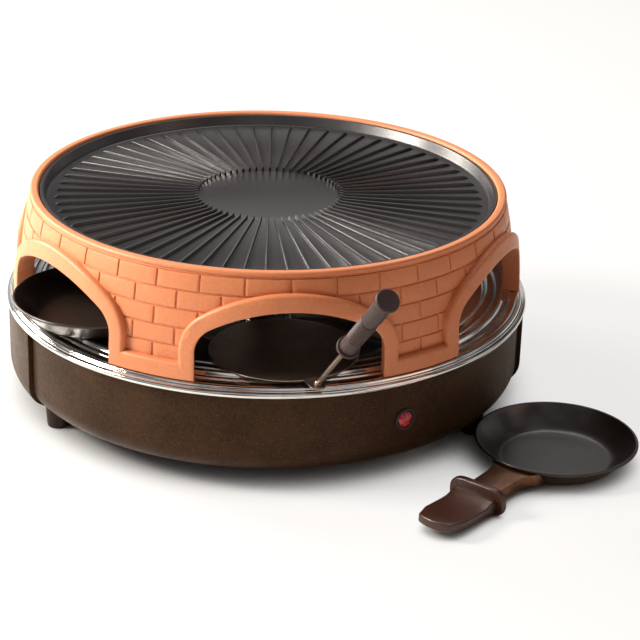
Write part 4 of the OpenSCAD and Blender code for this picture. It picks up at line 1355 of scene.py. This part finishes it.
@dataclass
class Spatula(Assembly):
    """The spatula: round blade, wire rod and ribbed grip."""

    centre: tuple[float, float, float] = (0.0, -147.0, 91.2)
    turn: float = -74.3
    blade: float = 56.5
    blade_t: float = 1.2
    rod_foot: float = 68.0
    rod_z: float = 2.6
    rod_rise: float = 44.0
    collar_start: float = 72.5
    grip_start: float = 75.5
    cap_start: float = 157.5
    length: float = 161.5
    grip_r: float = 6.5
    disc_r: float = 8.5
    bore: float = 1.85
    ribs: int = 9
    rib_pitch: float = 3.6

    def build(self) -> None:
        """Models the grip's turned pieces along the rod."""
        lying = move(*self.centre) @ polar(self.turn)
        along = (lying @ move(self.rod_foot, 0, self.rod_z)
                 @ Matrix.Rotation(math.radians(90 - self.rod_rise), 4, "Y"))
        for piece, slot, node, where in (
                (self._blade(), "spatula_steel", "spatula_blade", lying),
                (self._collar(), "grip_plastic", "spatula_collar", along),
                (self._grip(), "grip_plastic", "spatula_grip", along),
                (self._cap(), "grip_plastic", "spatula_cap", along)):
            self.hand_over(Bench.place(piece, where), "spatula", slot, [node], 40)

    def _blade(self) -> Piece:
        """The thin round blade and the tab that the rod is fixed to."""
        top = self.blade_t
        disc = Bench.lathe("blade_disc", eased([(0, 0, 0), (self.blade, 0, 0.35),
                                                (self.blade, top * 0.7, 0.3),
                                                (self.blade - 1.4, top, 0.5), (0, top, 0)],
                                               closed=False), 128)
        tab = Bench.prism("tab", [(self.blade - 4, -6), (self.rod_foot, -6),
                                  *arc((self.rod_foot, 0), 6, -80, 80, 12),
                                  (self.rod_foot, 6), (self.blade - 4, 6)], 0.01, top - 0.01)
        Bench.soften(tab, 0.3, 2, 60)
        return Bench.weld("round_blade", [disc, tab])

    def _collar(self) -> Piece:
        """The disc below the grip."""
        a, b, r = self.collar_start, self.grip_start, self.disc_r
        return Bench.lathe("grip_collar", eased([(1.8, a, 0.2), (r, a, 0.9), (r, b, 0.9),
                                                 (1.8, b, 0)]), 64)

    def _grip(self) -> Piece:
        """The grip's body with rounded ribs over its lower half."""
        a, r, low = self.grip_start, self.grip_r, self.grip_r - 1.0
        section = [(self.bore, a), (r + 0.2, a), (r, a + 1.5), (r, a + 7), (low, a + 13)]
        for i in range(self.ribs):
            z = a + 14 + i * self.rib_pitch
            section += [(low, z + 0.3), (low + 0.75, z + 0.8), (r, z + 1.5), (r, z + 2.1),
                        (low + 0.75, z + 2.8), (low, z + 3.3)]
        z, end = a + 14 + self.ribs * self.rib_pitch, self.cap_start
        section += [(low, z + 0.6), (low + 0.5, z + 3.5), (r, z + 9), (r, end - 12),
                    (r - 0.3, end - 4), (r + 0.6, end), (self.bore, end)]
        return Bench.lathe("ribbed_grip", section, 64)

    def _cap(self) -> Piece:
        """The disc at the end, its face slightly hollow."""
        a, b, r = self.cap_start, self.length, self.disc_r
        return Bench.lathe("grip_cap", eased([
            (0, a, 0), (r - 1.2, a, 0.6), (r, a + 1.2, 0.8), (r, b - 0.9, 0.7),
            (r - 1.1, b, 0.6), (r - 3.2, b - 0.35, 0.8), (0, b - 0.5, 0)], closed=False), 64)


# ---------------------------------------------------------------- the studio


@dataclass
class Studio:
    """Floor, lamps, world and the camera at the photograph's viewpoint."""

    distance: float = 1.7045
    elevation: float = 22.69
    aside: float = 5.2
    target_z: float = 0.0795
    lens: float = 117.62
    yaw: float = -1.46
    pitch: float = -0.84
    roll: float = -1.05
    floor_white: float = 0.72
    painted_shadow_reach: float = 0.055

    def build(self) -> None:
        """Sets the whole scene round the object."""
        bpy.context.scene.view_settings.view_transform = "Standard"
        self._floor()
        self._world()
        self._lamps()
        self._camera()

    def _floor(self) -> None:
        """A wide pale floor that the camera sees as near white, with painted shadow where pieces
        stand.
        """
        Bench.clear()
        bpy.ops.mesh.primitive_plane_add(size=24)
        floor = bpy.context.object
        floor.name = "floor"
        material = bpy.data.materials.new("pale_floor")
        material.use_nodes = True
        graph, nodes = Graph(material.node_tree), material.node_tree.nodes
        shader = nodes["Principled BSDF"]
        graph.feed(shader, {"Base Color": (0.86, 0.86, 0.86, 1), "Roughness": 0.7,
                            "Specular IOR Level": 0.2})
        # Painted contact shadow: ambient occlusion darkens the white emission that the camera
        # sees close to the pieces.
        near = graph.add("AmbientOcclusion", {"Distance": self.painted_shadow_reach}, samples=12)
        shade = graph.add("MapRange", {"From Min": 0.12, "From Max": 0.72,
                                       "Value": near.outputs["AO"]},
                          interpolation_type="SMOOTHSTEP")
        # This emission carries the painted shadow; the diffuse shader keeps the lamps' real
        # shadow.
        white = graph.add("Emission", {"Color": shade.outputs["Result"], "Strength": 1.0})
        ray = graph.add("LightPath")
        seen = graph.add("Math", {0: ray.outputs["Is Camera Ray"], 1: self.floor_white},
                         operation="MULTIPLY")
        mix = graph.add("MixShader", {"Fac": seen.outputs[0], 1: shader.outputs[0],
                                      2: white.outputs[0]})
        graph.feed(nodes["Material Output"], {"Surface": mix.outputs[0]})
        floor.data.materials.append(material)

    def _world(self) -> None:
        """A dim world that is white to the camera and shows bright panels in mirrors."""
        world = bpy.data.worlds.new("studio")
        bpy.context.scene.world = world
        world.use_nodes = True
        graph, nodes = Graph(world.node_tree), world.node_tree.nodes
        fill = nodes["Background"]
        graph.feed(fill, {"Color": (1.0, 0.76, 0.58, 1), "Strength": 0.15})
        white = graph.add("Background", {"Color": (1, 1, 1, 1), "Strength": 1.0})
        panels = graph.add("TexNoise", {"Vector": graph.add("TexCoord").outputs["Generated"],
                                        "Scale": 2.6, "Detail": 1.0})
        contrast = graph.add("MapRange", {"From Min": 0.42, "From Max": 0.58, "To Min": 0.06,
                                          "To Max": 0.8, "Value": panels.outputs["Fac"]},
                             interpolation_type="SMOOTHSTEP")
        room = graph.add("Background", {"Strength": contrast.outputs["Result"]})
        ray = graph.add("LightPath").outputs
        mirrored = graph.add("MixShader", {"Fac": ray["Is Glossy Ray"], 1: fill.outputs[0],
                                           2: room.outputs[0]})
        mix = graph.add("MixShader", {"Fac": ray["Is Camera Ray"], 1: mirrored.outputs[0],
                                      2: white.outputs[0]})
        graph.feed(nodes["World Output"], {"Surface": mix.outputs[0]})

    @staticmethod
    def _lamp(name: str, azimuth: float, height: float, away: float, size: float,
              power: float, tint: tuple[float, float, float]) -> None:
        """Adds a square area lamp that looks at the object.

        Args:
            name: Its name.
            azimuth: Where it stands round the object, in degrees from -Y towards +X.
            height: Its elevation in degrees.
            away: Its distance in metres.
            size: Its side in metres.
            power: Its power in watts.
            tint: Its colour.
        """
        data = bpy.data.lights.new(name, "AREA")
        data.energy, data.size, data.color = power, size, tint
        lamp = bpy.data.objects.new(name, data)
        bpy.context.scene.collection.objects.link(lamp)
        a, e = math.radians(azimuth), math.radians(height)
        way = Vector((math.sin(a) * math.cos(e), -math.cos(a) * math.cos(e), math.sin(e)))
        lamp.location = way * away + Vector((0, 0, 0.08))
        lamp.rotation_mode = "QUATERNION"
        lamp.rotation_quaternion = way.to_track_quat("Z", "Y")

    def _lamps(self) -> None:
        """A warm key and an edge light from the left, a weak top light and warm fill."""
        self._lamp("key", -88, 34, 2.2, 0.7, 84, (1.0, 0.93, 0.83))
        self._lamp("edge", -128, 24, 2.0, 0.8, 40, (1.0, 0.93, 0.84))
        self._lamp("top", 165, 62, 2.4, 1.4, 18, (1.0, 0.98, 0.95))
        self._lamp("fill", 52, 20, 2.6, 1.4, 5, (1.0, 0.55, 0.33))

    def _camera(self) -> None:
        """The camera, turned from its look at the rim's centre as the photograph needs."""
        data = bpy.data.cameras.new("camera")
        data.sensor_width, data.lens = 36.0, self.lens
        data.clip_start, data.clip_end = 0.1, 60
        camera = bpy.data.objects.new("camera", data)
        bpy.context.scene.collection.objects.link(camera)
        side, rise = math.radians(self.aside), math.radians(self.elevation)
        back = Vector((-math.sin(side) * math.cos(rise), -math.cos(side) * math.cos(rise),
                       math.sin(rise)))
        ahead = -back
        right = ahead.cross(Vector((0, 0, 1))).normalized()
        up = right.cross(ahead)
        for axis, angle in enumerate((self.yaw, self.pitch, self.roll)):
            turn = Matrix.Rotation(math.radians(angle), 3, (up, right, ahead)[axis])
            ahead, right, up = turn @ ahead, turn @ right, turn @ up
        basis = Matrix((right, up, -ahead)).transposed().to_4x4()
        target = Vector((0, 0, self.target_z))
        camera.matrix_world = Matrix.Translation(target + back * self.distance) @ basis
        bpy.context.scene.camera = camera


def main() -> None:
    """Builds the finishes, every sub-assembly and the studio, in that order."""
    logging.basicConfig(level=logging.INFO, format="%(name)s: %(message)s")
    finishes = Finishes()
    finishes.dress_nodes()
    log.info("dressed %d CAD nodes", len(frame["nodes"]))
    Base(finishes).build()
    TerracottaRing(finishes).build()
    GrillPlate(finishes).build()
    SmallPan(finishes, prefix="oven_pan", centre=(-140.08, -76.69, 91.2), turn=48.5).build()
    SmallPan(finishes, prefix="table_pan", centre=(210.44, -158.58, 0.0), turn=-134.0).build()
    Spatula(finishes).build()
    Studio().build()


if __name__ == "__main__":
    main()
